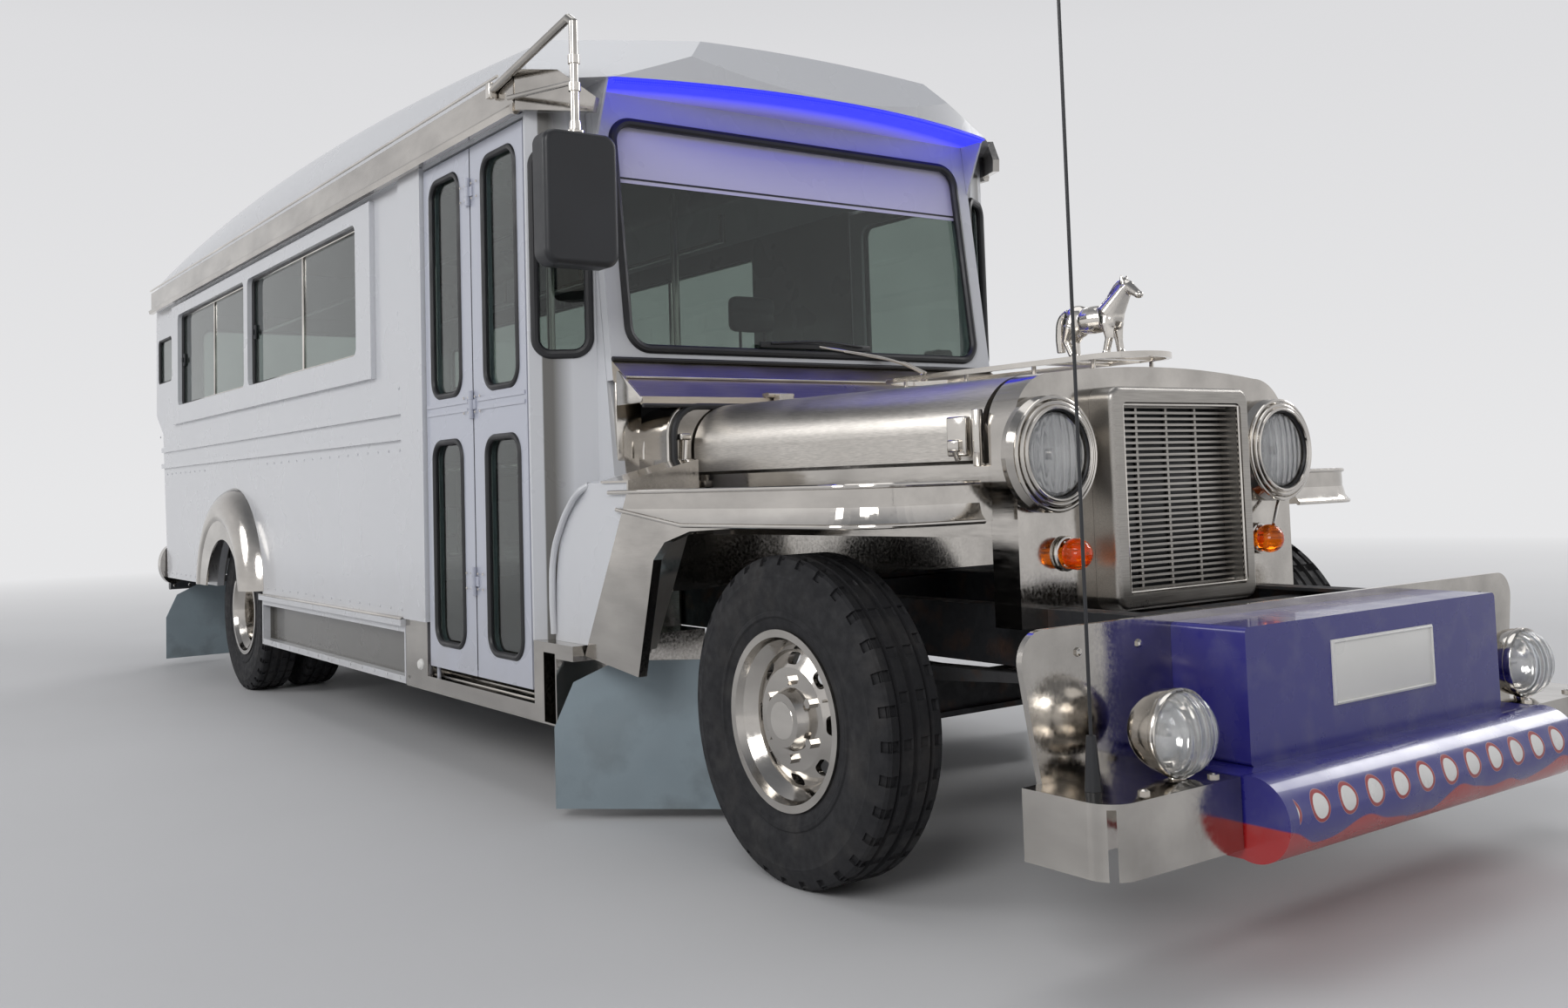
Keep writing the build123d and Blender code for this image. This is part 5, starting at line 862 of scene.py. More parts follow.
def tyre_outline(radius, half, bead, depth):
    """Half of a tyre's section from its bead to the middle of the tread."""
    wall = [
        (bead, 0.60), (bead, 0.74), (bead + 0.016, 0.84), (bead + 0.038, 0.90), (bead + 0.043, 0.945),
        (bead + 0.052, 0.945), (bead + 0.056, 0.915), (bead + 0.082, 0.985), (bead + 0.106, 1.0),
        (bead + 0.130, 0.975), (bead + 0.138, 0.985), (bead + 0.146, 0.955), (radius - 0.022, 0.90),
        (radius - 0.006, 0.82), (radius, 0.74), (radius, 0.53), (radius - depth, 0.50),
        (radius - depth, 0.42), (radius, 0.39), (radius, 0.11), (radius - depth, 0.08),
    ]
    return [(r, part * half) for r, part in wall]


def add_tyre(mesh, centre, sizes):
    """One tyre with ringed sidewalls, grooves and notched shoulders."""
    bead, notch_every, score_every = RIM_RADIUS - 0.0115, 3, 4
    half_outline = tyre_outline(TYRE_RADIUS, TYRE_HALF, bead, sizes.tread_depth)
    outline = half_outline + [(r, -h) for r, h in reversed(half_outline)]
    part = clean_part()
    add_turned(part, outline, (0, 0, 0), UP, sides=sizes.tread_steps, ring=True)
    step = 2 * pi / sizes.tread_steps
    notched, scored = [], []
    for face in part.faces:
        middle = face.calc_center_median()
        turn = int((Vector((middle.x, middle.y)).angle_signed(Vector((1, 0))) + 2 * pi) / step)
        reach = Vector((middle.x, middle.y)).length
        aside = abs(middle.z) / TYRE_HALF
        if reach > TYRE_RADIUS - 0.016 and aside > 0.53 and turn % notch_every == 0:
            notched.append(face)
        elif reach > TYRE_RADIUS - 0.001 and aside < 0.5 and turn % score_every == 0:
            scored.append(face)
    bmesh.ops.inset_individual(part, faces=notched, thickness=0.0012, depth=-0.007)
    bmesh.ops.inset_individual(part, faces=scored, thickness=0.0035, depth=-0.005)
    join(mesh, part, aimed(centre, OUT_Y))


class JEEPNEY_OT_tyres(bpy.types.Operator):
    """Tyres with grooves, notched shoulders and ringed sidewalls"""

    bl_idname = "jeepney.tyres"
    bl_label = "Tyres"

    def execute(self, context):
        sizes = context.scene.jeepney_sizes
        for word in ("right", "left"):
            for kind, body, axle in (
                ("front_tyre_", "wheel_front_", FRONT_AXLE), ("rear_tyres_", "wheels_rear_", REAR_AXLE),
            ):
                low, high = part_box(kind + word)
                tyre = clean_part()
                for y in sorted({round(low.y + TYRE_HALF, 4), round(high.y - TYRE_HALF, 4)}):
                    add_tyre(tyre, (axle.x, y, axle.z), sizes)
                piece = put(kind + word + "_tread", tyre, body + word, finish("tyre"), 25)
                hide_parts(kind + word)
        return {"FINISHED"}


class JEEPNEY_OT_wheel_trim(bpy.types.Operator):
    """Hub caps and tyre valves"""

    bl_idname = "jeepney.wheel_trim"
    bl_label = "Wheel trim"

    def execute(self, context):
        cap = [(0, -0.03), (0.050, -0.03), (0.050, -0.006), (0.044, 0.0), (0, 0.0005)]
        valve_ahead, valve_sink, valve_up, valve_foot, valve_tip = 0.150, 0.020, 0.06, 0.03, 0.012
        for word, side in (("right", RIGHT), ("left", LEFT)):
            outward = Vector((0, side, 0))
            for kind, axle, hub_face, rim_face in (
                ("wheel_front_", FRONT_AXLE, 0.885, 0.885), ("wheels_rear_", REAR_AXLE, 0.851, 0.945),
            ):
                trim = clean_part()
                add_turned(trim, cap, (axle.x, side * hub_face, axle.z), outward, sides=32)
                valve = Vector((axle.x + valve_ahead, side * (rim_face - valve_sink), axle.z + valve_up))
                add_rod(
                    trim, valve - outward * valve_foot, valve + outward * valve_tip, 0.004,
                    tip=0.003, sides=10,
                )
                put(kind + word + "_trim", trim, kind + word, finish("chrome"))
        return {"FINISHED"}


def lamp_pair(name):
    """Middle of the left lamp's back, its radius and its depth, for a pair of round lamps."""
    low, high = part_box(name)
    radius = (high.z - low.z) / 2
    return Vector((low.x, high.y - radius, (low.z + high.z) / 2)), radius, high.x - low.x


class JEEPNEY_OT_headlamps(bpy.types.Operator):
    """Fluted lenses over their reflectors, with stepped rims"""

    bl_idname = "jeepney.headlamps"
    bl_label = "Headlamps"

    def execute(self, context):
        centre = lamp_pair("headlamp_lenses")[0]
        bowl, glass, rims, seal = clean_part(), clean_part(), clean_part(), clean_part()
        reflector = [
            (0, 0.0005), (0, 0.010), (0.012, 0.010), (0.014, 0.003), (0.05, 0.006), (0.086, 0.014),
            (0.095, 0.016), (0.095, 0.0005),
        ]
        dome = [
            (0, 0.0279), (0.03, 0.0270), (0.06, 0.0240), (0.084, 0.0195), (0.096, 0.0165), (0.099, 0.012),
            (0.099, 0.006), (0.096, 0.006), (0.095, 0.0135), (0.08, 0.0175), (0.05, 0.0225), (0, 0.0249),
        ]
        add_turned(bowl, reflector, centre, OUT_X)
        add_turned(glass, dome, centre, OUT_X, sides=48)
        for reach, stand, thick in ((0.131, 0.020, 0.005), (0.118, 0.024, 0.006), (0.108, 0.029, 0.005)):
            add_turned(rims, round_section(reach, stand, thick), centre, OUT_X, sides=56, ring=True)
        gap = round_section(0.1035, 0.022, 0.004, corners=6)
        add_turned(seal, gap, centre, OUT_X, sides=56, ring=True)
        for part in (bowl, glass, rims, seal):
            both_sides(part)
        put("headlamp_reflectors", bowl, "vehicle", finish("steel"))
        lens = put("headlamp_fluted_lenses", glass, "vehicle", finish("lens"))
        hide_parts("headlamp_lenses")
        put("headlamp_rims", rims, "vehicle", finish("chrome"))
        put("headlamp_seals", seal, "vehicle", finish("rubber"))
        return {"FINISHED"}


class JEEPNEY_OT_bumper_lamps(bpy.types.Operator):
    """Round lamps on the bumper: bright bowl, fluted dome, rim and foot"""

    bl_idname = "jeepney.bumper_lamps"
    bl_label = "Bumper lamps"

    def execute(self, context):
        centre, radius, whole = lamp_pair("bumper_lamps")
        depth = whole * 0.56
        lip = depth + 0.014
        rise = whole - lip
        wide, near, narrow = radius * 0.97, radius * 0.93, radius * 0.90
        turns = [n * pi / 2 / 6 for n in range(7)]
        bowl, glass = clean_part(), clean_part()
        shell = [(wide * sin(a), depth - depth * cos(a)) for a in turns]
        hollow = [(narrow * sin(a), depth + 0.001 - depth * 0.62 * cos(a)) for a in turns]
        add_turned(bowl, shell + [(wide, lip)] + hollow[::-1], centre, OUT_X)
        add_ball(bowl, centre + OUT_X * depth * 0.75, (0.016, 0.013, 0.013))
        dome = [(near * cos(a), lip + rise * sin(a)) for a in turns]
        under = [(narrow * cos(a), lip - 0.002 + (rise - 0.004) * sin(a)) for a in turns]
        add_turned(glass, dome[::-1] + [(narrow, depth + 0.006)] + under, centre, OUT_X)
        foot = centre + OUT_X * depth
        add_rod(bowl, foot - UP * (radius + 0.001), foot - UP * radius * 0.8, 0.018, tip=0.012)
        rim = round_section(radius * 0.985, depth + 0.010, 0.006, tall=0.009)
        add_turned(bowl, [(min(r, radius), h) for r, h in rim], centre, OUT_X, sides=48, ring=True)
        both_sides(bowl)
        both_sides(glass)
        put("bumper_lamp_bowls", bowl, "vehicle", finish("chrome"))
        piece = put("bumper_lamp_domes", glass, "vehicle", finish("lens"))
        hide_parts("bumper_lamps")
        return {"FINISHED"}


class JEEPNEY_OT_small_lamps(bpy.types.Operator):
    """Rims of the marker lamps, the thin feeler rod and the step lamp"""

    bl_idname = "jeepney.small_lamps"
    bl_label = "Small lamps"

    def execute(self, context):
        centre, radius, _ = lamp_pair("marker_lamps")
        feeler_foot, feeler_tip, feeler_radius = (3.165, 0.372, 0.802), (3.128, 0.470, 0.905), 0.0045
        rims, step_lamp = clean_part(), clean_part()
        rim = round_section(radius * 0.96, 0.006, 0.006)
        add_turned(rims, rim, centre, OUT_X, sides=40, ring=True)
        both_sides(rims)
        add_rod(rims, feeler_foot, feeler_tip, feeler_radius)
        put("small_lamp_rims", rims, "vehicle", finish("chrome"))
        dome = [(0, 0), (0.020, 0), (0.020, 0.004), (0.014, 0.012), (0, 0.016)]
        add_turned(step_lamp, dome, (0.636, -SKIN_Y - 0.018, 0.352), -OUT_Y, sides=24)
        put("step_lamp", step_lamp, "vehicle", finish("plain"))
        return {"FINISHED"}


def arch_path(x, half, top, radius, low, steps=6):
    """Upright arch across the nose with rounded shoulders."""
    corner = [
        (half - radius + radius * cos(a), top - radius + radius * sin(a))
        for a in (n * pi / 2 / steps for n in range(steps + 1))
    ]
    left = [Vector((x, half, low))] + [Vector((x, y, z)) for y, z in corner]
    return left + [Vector((x, -p.y, p.z)) for p in reversed(left)]


class JEEPNEY_OT_hood_trim(bpy.types.Operator):
    """Rear seal, latches and brackets of the hood, and the beads along the cowl"""

    bl_idname = "jeepney.hood_trim"
    bl_label = "Hood trim"

    def execute(self, context):
        cowl_x, scuttle_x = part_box("cowl")[1].x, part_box("scuttle")[1].x
        seal, beads = clean_part(), clean_part()
        add_tube(seal, arch_path(cowl_x + 0.004, half=0.685, top=1.186, radius=0.085, low=0.93), 0.010)
        add_tube(beads, arch_path(cowl_x - 0.004, half=0.702, top=1.192, radius=0.09, low=0.935), 0.005)
        add_tube(beads, arch_path(scuttle_x - 0.165, half=0.702, top=1.150, radius=0.09, low=1.035), 0.004)
        put("hood_rear_seal", seal, "vehicle", finish("rubber"))
        put("cowl_edge_beads", beads, "vehicle", finish("chrome"))
        self.side_latches()
        self.rear_brackets()
        return {"FINISHED"}

    def side_latches(self):
        """Latch with its lever and catch near the front of each hood side."""
        latch = clean_part()
        turn = Matrix.Translation((2.955, 0.531, 0)) @ Matrix.Rotation(radians(-5), 4, "Z")
        add_block(latch, (-0.030, 0, 1.000), (0.030, 0.026, 1.095), edge=0.006, steps=3, place=turn)
        add_block(latch, (-0.018, 0.022, 1.010), (0.018, 0.040, 1.040), edge=0.006, steps=3, place=turn)
        add_rod(latch, turn @ Vector((0, 0.030, 1.015)), turn @ Vector((0, 0.018, 0.992)), 0.008)
        add_block(latch, (0.040, -0.004, 0.975), (0.064, 0.014, 1.110), edge=0.004, place=turn)
        both_sides(latch)
        put("hood_side_latches", latch, "hood", finish("chrome"))

    def rear_brackets(self):
        """Upright rod in three lugs, and the plate behind it, on each side of the cowl."""
        bracket = clean_part()
        lug_half = 0.010
        add_rod(bracket, (1.902, 0.662, 0.945), (1.902, 0.650, 1.105), 0.007)
        for z in (0.955, 1.02, 1.095):
            add_block(
                bracket, (1.882, 0.640, z - lug_half), (1.914, 0.676, z + lug_half), edge=0.005, steps=3,
            )
        add_block(bracket, (1.688, 0.688, 0.940), (1.706, 0.775, 1.272), edge=0.003)
        both_sides(bracket)
        put("hood_rear_brackets", bracket, "vehicle", finish("chrome"))


class JEEPNEY_OT_fender_trim(bpy.types.Operator):
    """Rolled edges and flared lower lip of the front fenders, and the fairing beads"""

    bl_idname = "jeepney.fender_trim"
    bl_label = "Fender trim"

    def execute(self, context):
        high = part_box("front_fenders")[1]
        edge = context.scene.jeepney_sizes.bead
        beads, lip, fairing = clean_part(), clean_part(), clean_part()
        crease, foot, ledge, flare, corner = 0.892, 0.850, 0.938, 0.020, 0.125
        start, full, inner, ledge_start = 1.975, 2.34, 0.60, 1.932
        bend = Vector((high.x - corner, high.y - corner, crease))
        straight = [start + n * (bend.x - start) / 16 for n in range(17)]
        plan = [(Vector((x, high.y, crease)), OUT_Y) for x in straight]
        for turn in (radians(9 * n) for n in range(1, 11)):
            out = Vector((sin(turn), cos(turn), 0))
            plan.append((bend + out * corner, out))
        plan.append((Vector((high.x, inner, crease)), OUT_X))
        stations = []
        for place, out in plan:
            grown = min(0.04 + 0.96 * (place.x - start) / (full - start), 1.0)
            stations.append((place, out * grown, UP * (crease - foot) * grown))
        section = [(-0.002, 0), (0.001, 0), (flare * 0.35, -0.6), (flare, -1), (-0.002, -1)]
        add_strip(lip, section, stations)
        add_tube(beads, [place + out * (flare - edge) - drop for place, out, drop in stations], edge)
        top = [Vector((place.x, place.y, ledge)) + out * 0.001 for place, out in plan]
        top.insert(0, Vector((ledge_start, high.y + 0.001, ledge)))
        add_tube(beads, top, edge)
        fairing_edge = [
            (1.570, 0.930, 0.520), (1.574, 0.935, 0.640), (1.590, 0.935, 0.760), (1.636, 0.935, 0.837),
            (1.701, 0.935, 0.904), (1.760, 0.934, 0.943), (1.792, 0.918, 0.962),
        ]
        add_tube(fairing, fairing_edge, 0.010, curved=True)
        for part in (beads, lip, fairing):
            both_sides(part)
        put("fender_edge_beads", beads, "vehicle", finish("chrome"))
        put("fender_lips", lip, "vehicle", finish("chrome"), 25)
        put("fairing_beads", fairing, "vehicle", finish("body"))
        return {"FINISHED"}


class JEEPNEY_OT_grille_trim(bpy.types.Operator):
    """Dark screen behind the grille bars and a bead round its frame"""

    bl_idname = "jeepney.grille_trim"
    bl_label = "Grille trim"

    def execute(self, context):
        low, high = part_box("grille")
        half, foot, head, inset = 0.226, 0.662, 1.116, 0.004
        screen, bead = clean_part(), clean_part()
        add_block(screen, (low.x + 0.001, -half, foot), (low.x + 0.005, half, head), edge=0.001)
        put("grille_screen", screen, "vehicle", finish("black"))
        mouth = rectangle(half - inset, foot + inset, head - inset)
        add_tube(bead, [(high.x - 0.006, y, z) for y, z in mouth], 0.005, closed=True)
        put("grille_frame_bead", bead, "vehicle", finish("chrome"))
        return {"FINISHED"}


class JEEPNEY_OT_scuttle_trim(bpy.types.Operator):
    """Rubber lines, crease bead and end caps of the scuttle"""

    bl_idname = "jeepney.scuttle_trim"
    bl_label = "Scuttle trim"

    def execute(self, context):
        end_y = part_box("scuttle")[1].y
        line, bead, cap = clean_part(), clean_part(), clean_part()
        for x, z, radius, mesh in (
            (1.893, 1.188, 0.006, line), (1.716, 1.340, 0.007, line), (1.800, 1.279, 0.004, bead),
        ):
            add_tube(mesh, [(x, -end_y, z), (x, end_y, z)], radius)
        add_block(cap, (1.742, end_y - 0.006, 1.196), (1.886, end_y + 0.004, 1.300), edge=0.004)
        cut_away(cap, (1.885, 0, 1.214), (0.68, 0, 1), close=True)
        both_sides(cap)
        join(bead, cap)
        put("scuttle_rubber_lines", line, "vehicle", finish("rubber"))
        put("scuttle_bead_and_caps", bead, "vehicle", finish("chrome"))
        return {"FINISHED"}


def cast_in_one(name, mesh, voxel, passes):
    """Fuses overlapping solids into one skin and softens where they meet."""
    data = bpy.data.meshes.new(name)
    mesh.to_mesh(data)
    mesh.free()
    holder = bpy.data.objects.new(name, data)
    bpy.context.scene.collection.objects.link(holder)
    even = holder.modifiers.new("even", "REMESH")
    even.mode = "VOXEL"
    even.voxel_size = voxel
    soften = holder.modifiers.new("soften", "SMOOTH")
    soften.factor = 0.5
    soften.iterations = passes
    shaped = bpy.data.meshes.new_from_object(
        holder.evaluated_get(bpy.context.evaluated_depsgraph_get())
    )
    fused = clean_part()
    fused.from_mesh(shaped)
    bpy.data.objects.remove(holder)
    bpy.data.meshes.remove(shaped)
    return fused


def horse_figure():
    """Plain standing horse about its own feet, nose towards +X, in metres."""
    horse = clean_part()

    # Barrel, chest and rump
    add_ball(horse, (0, 0, 0.103), (0.068, 0.029, 0.037))
    add_ball(horse, (0.044, 0, 0.108), (0.031, 0.028, 0.040))
    add_ball(horse, (-0.046, 0, 0.110), (0.034, 0.030, 0.038))

    # Neck, crest, head and muzzle
    add_rod(horse, (0.044, 0, 0.114), (0.088, 0, 0.174), 0.031, 0.0155)
    add_rod(horse, (0.032, 0, 0.132), (0.080, 0, 0.184), 0.014, 0.009)
    add_ball(horse, (0.089, 0, 0.178), (0.018, 0.0125, 0.0165))
    add_rod(horse, (0.090, 0, 0.178), (0.119, 0, 0.152), 0.0150, 0.0092)
    add_ball(horse, (0.120, 0, 0.151), (0.0105, 0.0095, 0.0098))

    # Mane and tail
    for lift in (0.0, 0.006):
        mane = [(0.090, 0, 0.198), (0.070, 0, 0.188 + lift / 2), (0.050, 0, 0.163 + lift), (0.032, 0, 0.142)]
        add_tube(horse, mane, 0.0052, curved=True)
    tail = [(-0.070, 0, 0.134), (-0.090, 0, 0.118), (-0.099, 0, 0.076), (-0.097, 0, 0.026)]
    add_tube(horse, tail, 0.0105, curved=True)

    # Ear, haunch, shoulder and two legs on each side, the legs a little out of step
    for side in (RIGHT, LEFT):
        add_rod(horse, (0.084, side * 0.007, 0.188), (0.083, side * 0.010, 0.208), 0.006, 0.002)
        add_ball(horse, (-0.050, side * 0.014, 0.096), (0.026, 0.018, 0.034))
        add_ball(horse, (0.046, side * 0.014, 0.092), (0.019, 0.016, 0.030))
        for hip, knee, foot, thick in (
            ((0.046, 0.016, 0.088), (0.050, 0.016, 0.050), (0.047 + 0.008 * side, 0.016, 0.007), 0.015),
            ((-0.052, 0.017, 0.090), (-0.068, 0.017, 0.054), (-0.058 - 0.008 * side, 0.017, 0.007), 0.019),
        ):
            hip, knee, foot = (Vector((p[0], side * p[1], p[2])) for p in (hip, knee, foot))
            add_rod(horse, hip, knee, thick, 0.0095)
            add_ball(horse, knee, (0.0100, 0.0095, 0.0115))
            add_rod(horse, knee, foot, 0.0088, 0.0080)
            add_rod(horse, foot + Vector((0, 0, 0.007)), foot - Vector((-0.003, 0, 0.007)), 0.0088, 0.0122)
    longer, wider = 1.25, 1.12
    bmesh.ops.scale(horse, vec=(longer, wider, 1), verts=horse.verts)
    return horse


class JEEPNEY_OT_ornament(bpy.types.Operator):
    """Hood ornament: its oval rail with cross bars and a plain standing horse"""

    bl_idname = "jeepney.ornament"
    bl_label = "Hood ornament"

    def execute(self, context):
        rail_top, stand, bar_half, bar_radius = 1.2585, 1.252, 0.118, 0.0075
        horse_x, voxel, passes = 2.913, 0.0022, 6
        rail = merged_node("hood_ornament")
        cut_away(rail, (0, 0, rail_top), UP, close=True)
        for x in (2.860, 2.963):
            add_rod(rail, (x, -bar_half, stand - 0.006), (x, bar_half, stand - 0.006), bar_radius)
        put("hood_ornament_rail", rail, "hood", finish("chrome"), 40)
        figure = cast_in_one("horse", horse_figure(), voxel, passes)
        bmesh.ops.translate(figure, vec=(horse_x, 0, stand), verts=figure.verts)
        piece = put("hood_ornament_horse", figure, "hood", finish("casting"), 80)
        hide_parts("hood_ornament")
        return {"FINISHED"}


class JEEPNEY_OT_body_trim(bpy.types.Operator):
    """Rivets of the coach body and the bead along the gutters"""

    bl_idname = "jeepney.body_trim"
    bl_label = "Body trim"

    def execute(self, context):
        rivets, bead = clean_part(), clean_part()
        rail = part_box("drip_rails")
        ledge, panel_front, bead_height, bead_front = 1.345, 0.40, 2.250, 1.42
        ends = along((rail[0].x + 0.08, SKIN_Y, ledge), (panel_front, SKIN_Y, ledge), 2)
        add_studs(rivets, ends, OUT_Y)
        for z in (0.53, 1.115):
            for back, front, count in ((-3.50, -2.58, 9), (-1.36, panel_front, 16)):
                row = along((back, SKIN_Y, z), (front, SKIN_Y, z), count)
                add_studs(rivets, row, OUT_Y, radius=0.005, height=0.003)
        both_sides(rivets)
        put("body_rivets", rivets, "vehicle", finish("body"))
        bead_y = rail[1].y - 0.008
        add_tube(bead, [(rail[0].x + 0.02, bead_y, bead_height), (bead_front, bead_y, bead_height)], 0.005)
        both_sides(bead)
        put("gutter_beads", bead, "vehicle", finish("chrome"))
        return {"FINISHED"}


def add_blank_plate(mesh, face, way, proud, foot):
    """Bare number plate with a pressed border, proud of the X face towards way, its foot at foot."""
    half, tall, sink, border = 0.195, 0.135, 0.001, 0.005
    back, front = sorted((face - way * sink, face + way * proud))
    add_block(mesh, (back, -half, foot), (front, half, foot + tall), edge=0.0015)
    rim = rectangle(half - border, foot + border, foot + tall - border)
    add_tube(mesh, [(face + way * proud, y, z) for y, z in rim], 0.003, closed=True)


class JEEPNEY_OT_nose_bar_trim(bpy.types.Operator):
    """Blank front plate and the bolts of the bumper"""

    bl_idname = "jeepney.nose_bar_trim"
    bl_label = "Nose bar trim"

    def execute(self, context):
        bolts, plate = clean_part(), clean_part()
        box_face, shelf, flange_height = 3.679, 0.371, 0.605
        add_blank_plate(plate, box_face, 1, proud=0.004, foot=0.455)
        put("blank_front_plate", plate, "vehicle", finish("plain"))
        low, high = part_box("bumper")
        for y in (0.60, 0.80):
            pair = [(high.x - 0.035, y, shelf), (high.x - 0.150, y, shelf)]
            add_studs(bolts, pair, UP, radius=0.011, height=0.007, sides=6)
        for y in (0.58, 0.76):
            place = (low.x + 0.014, y, flange_height)
            add_studs(bolts, [place], OUT_X, radius=0.009, height=0.007, sides=6)
        both_sides(bolts)
        put("bumper_bolts", bolts, "vehicle", finish("chrome"))
        return {"FINISHED"}


class JEEPNEY_OT_rear_trim(bpy.types.Operator):
    """Tail lamp lenses and rings, the blank rear plate and the bolts at the back"""

    bl_idname = "jeepney.rear_trim"
    bl_label = "Rear trim"

    def execute(self, context):
        lenses, rings, plate, bolts = (clean_part() for _ in range(4))
        low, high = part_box("tail_lamps")
        lamp_inner_y, ring_wide, ring_tall, lens_apart = 0.849, 0.056, 0.092, 0.045
        middle = Vector((low.x, (high.y + lamp_inner_y) / 2, (low.z + high.z) / 2))
        oval = [
            middle + Vector((0.012, ring_wide * cos(a), ring_tall * sin(a)))
            for a in (n * pi / 16 for n in range(32))
        ]
        add_tube(rings, oval, 0.007, closed=True)
        for up in (lens_apart, -lens_apart):
            add_ball(lenses, middle + Vector((0.016, 0, up)), (0.020, 0.044, 0.040))
        both_sides(rings)
        both_sides(lenses)
        put("tail_lamp_rings", rings, "vehicle", finish("chrome"))
        put("tail_lamp_lenses", lenses, "vehicle", finish("red"))
        wall, flap_x, flap_z = -3.615, -3.40, 0.455
        add_blank_plate(plate, wall, -1, proud=0.006, foot=0.800)
        put("blank_rear_plate", plate, "vehicle", finish("plain"))
        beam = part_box("rear_bumper")
        level = (beam[0].z + beam[1].z) / 2
        for y in (0.38, 0.42):
            add_studs(bolts, [(beam[0].x + 0.001, y, level)], -OUT_X, radius=0.010, height=0.0, sides=6)
        flap_row = along((flap_x, 0.70, flap_z), (flap_x, 0.95, flap_z), 4)
        add_studs(bolts, flap_row, -OUT_X, radius=0.008, height=0.02, sides=6)
        both_sides(bolts)
        put("rear_bolts", bolts, "vehicle", finish("chrome"))
        return {"FINISHED"}


class JEEPNEY_OT_steps(bpy.types.Operator):
    """Ribs of the entry step, and the rivets and top strips of the running boards"""

    bl_idname = "jeepney.steps"
    bl_label = "Steps"

    def execute(self, context):
        ribs, rivets, strip = clean_part(), clean_part(), clean_part()
        first_rib, rib_pitch, rib_wide = -0.935, 0.05, 0.012
        for number in range(9):
            y = first_rib + number * rib_pitch
            add_block(ribs, (0.62, y, 0.309), (1.55, y + rib_wide, 0.3135), edge=0.0015)
        put("entry_step_ribs", ribs, "vehicle", finish("chrome"))
        board_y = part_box("running_boards")[1].y
        row = along((-1.38, board_y, 0.285), (0.42, board_y, 0.285), 14)
        add_studs(rivets, row, OUT_Y, radius=0.006, height=0.003)
        add_block(strip, (-1.445, SKIN_Y - 0.004, 0.494), (0.43, board_y + 0.002, 0.503), edge=0.002)
        both_sides(rivets)
        both_sides(strip)
        put("running_board_rivets", rivets, "vehicle", finish("body"))
        put("running_board_strips", strip, "vehicle", finish("chrome"))
        return {"FINISHED"}


class JEEPNEY_OT_door_trim(bpy.types.Operator):
    """Inside bars and hinge screws of the folding leaves, and the seal between them"""

    bl_idname = "jeepney.door_trim"
    bl_label = "Door trim"

    def execute(self, context):
        bar_y, bar_height, leaf_y, foot_height = -0.920, 1.03, -0.934, 1.02
        screw_y, screw_apart = -0.974, 0.025
        for name, body, (back, front), columns in (
            ("door_leaf_rear", "door_rear", (0.760, 1.050), (1.020, 1.058)),
            ("door_leaf_front", "door_front", (1.130, 1.440), (1.112, 1.152)),
        ):
            bar, screws = clean_part(), clean_part()
            route = [
                (back, leaf_y, foot_height), (back, bar_y, bar_height),
                (front, bar_y, bar_height), (front, leaf_y, foot_height),
            ]
            add_tube(bar, route, 0.008)
            put(name + "_inside_bar", bar, body, finish("chrome"))
            for z in (0.66, 1.24, 1.95):
                for x in columns:
                    pair = [(x, screw_y, z - screw_apart), (x, screw_y, z + screw_apart)]
                    add_studs(screws, pair, -OUT_Y, radius=0.0045, height=0.003)
            put(name + "_screws", screws, body, finish("chrome"))
        seal = clean_part()
        add_tube(seal, [(1.079, -0.962, 0.37), (1.079, -0.962, 2.09)], 0.005)
        put("door_meeting_seal", seal, "door_rear", finish("rubber"))
        return {"FINISHED"}


class JEEPNEY_OT_mirrors(bpy.types.Operator):
    """Mirror glass, tube clamps and the gutter bracket"""

    bl_idname = "jeepney.mirrors"
    bl_label = "Mirrors"

    def execute(self, context):
        low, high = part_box("mirror_head")
        glass, clamps = clean_part(), clean_part()
        side_frame, end_frame, tube_x, clamp_half = 0.022, 0.028, 1.885, 0.012
        add_block(
            glass, (low.x - 0.001, low.y + side_frame, low.z + end_frame),
            (low.x + 0.003, high.y - side_frame, high.z - end_frame), edge=0.0015,
        )
        put("mirror_face", glass, "vehicle", finish("chrome"))
        middle = (low.y + high.y) / 2
        add_rod(clamps, (tube_x, middle, high.z - 0.002), (tube_x, middle, high.z + 0.035), 0.019, tip=0.016)
        washer = [(0, 0), (0.026, 0), (0.026, 0.006), (0.018, 0.010), (0, 0.010)]
        add_turned(clamps, washer, (tube_x, middle, high.z), UP)
        for z in (2.10, 2.18):
            add_rod(clamps, (tube_x, middle, z - clamp_half), (tube_x, middle, z + clamp_half), 0.0175)
        add_block(clamps, (1.370, -1.032, 2.185), (1.400, -1.008, 2.235), edge=0.004)
        put("mirror_clamps", clamps, "vehicle", finish("chrome"))
        low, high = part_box("door_mirror")
        face = clean_part()
        add_block(
            face, (low.x - 0.001, high.y - 0.095, low.z + 0.012),
            (low.x + 0.002, high.y - 0.010, high.z - 0.012), edge=0.001,
        )
        put("door_mirror_face", face, "driver_door", finish("chrome"))
        return {"FINISHED"}


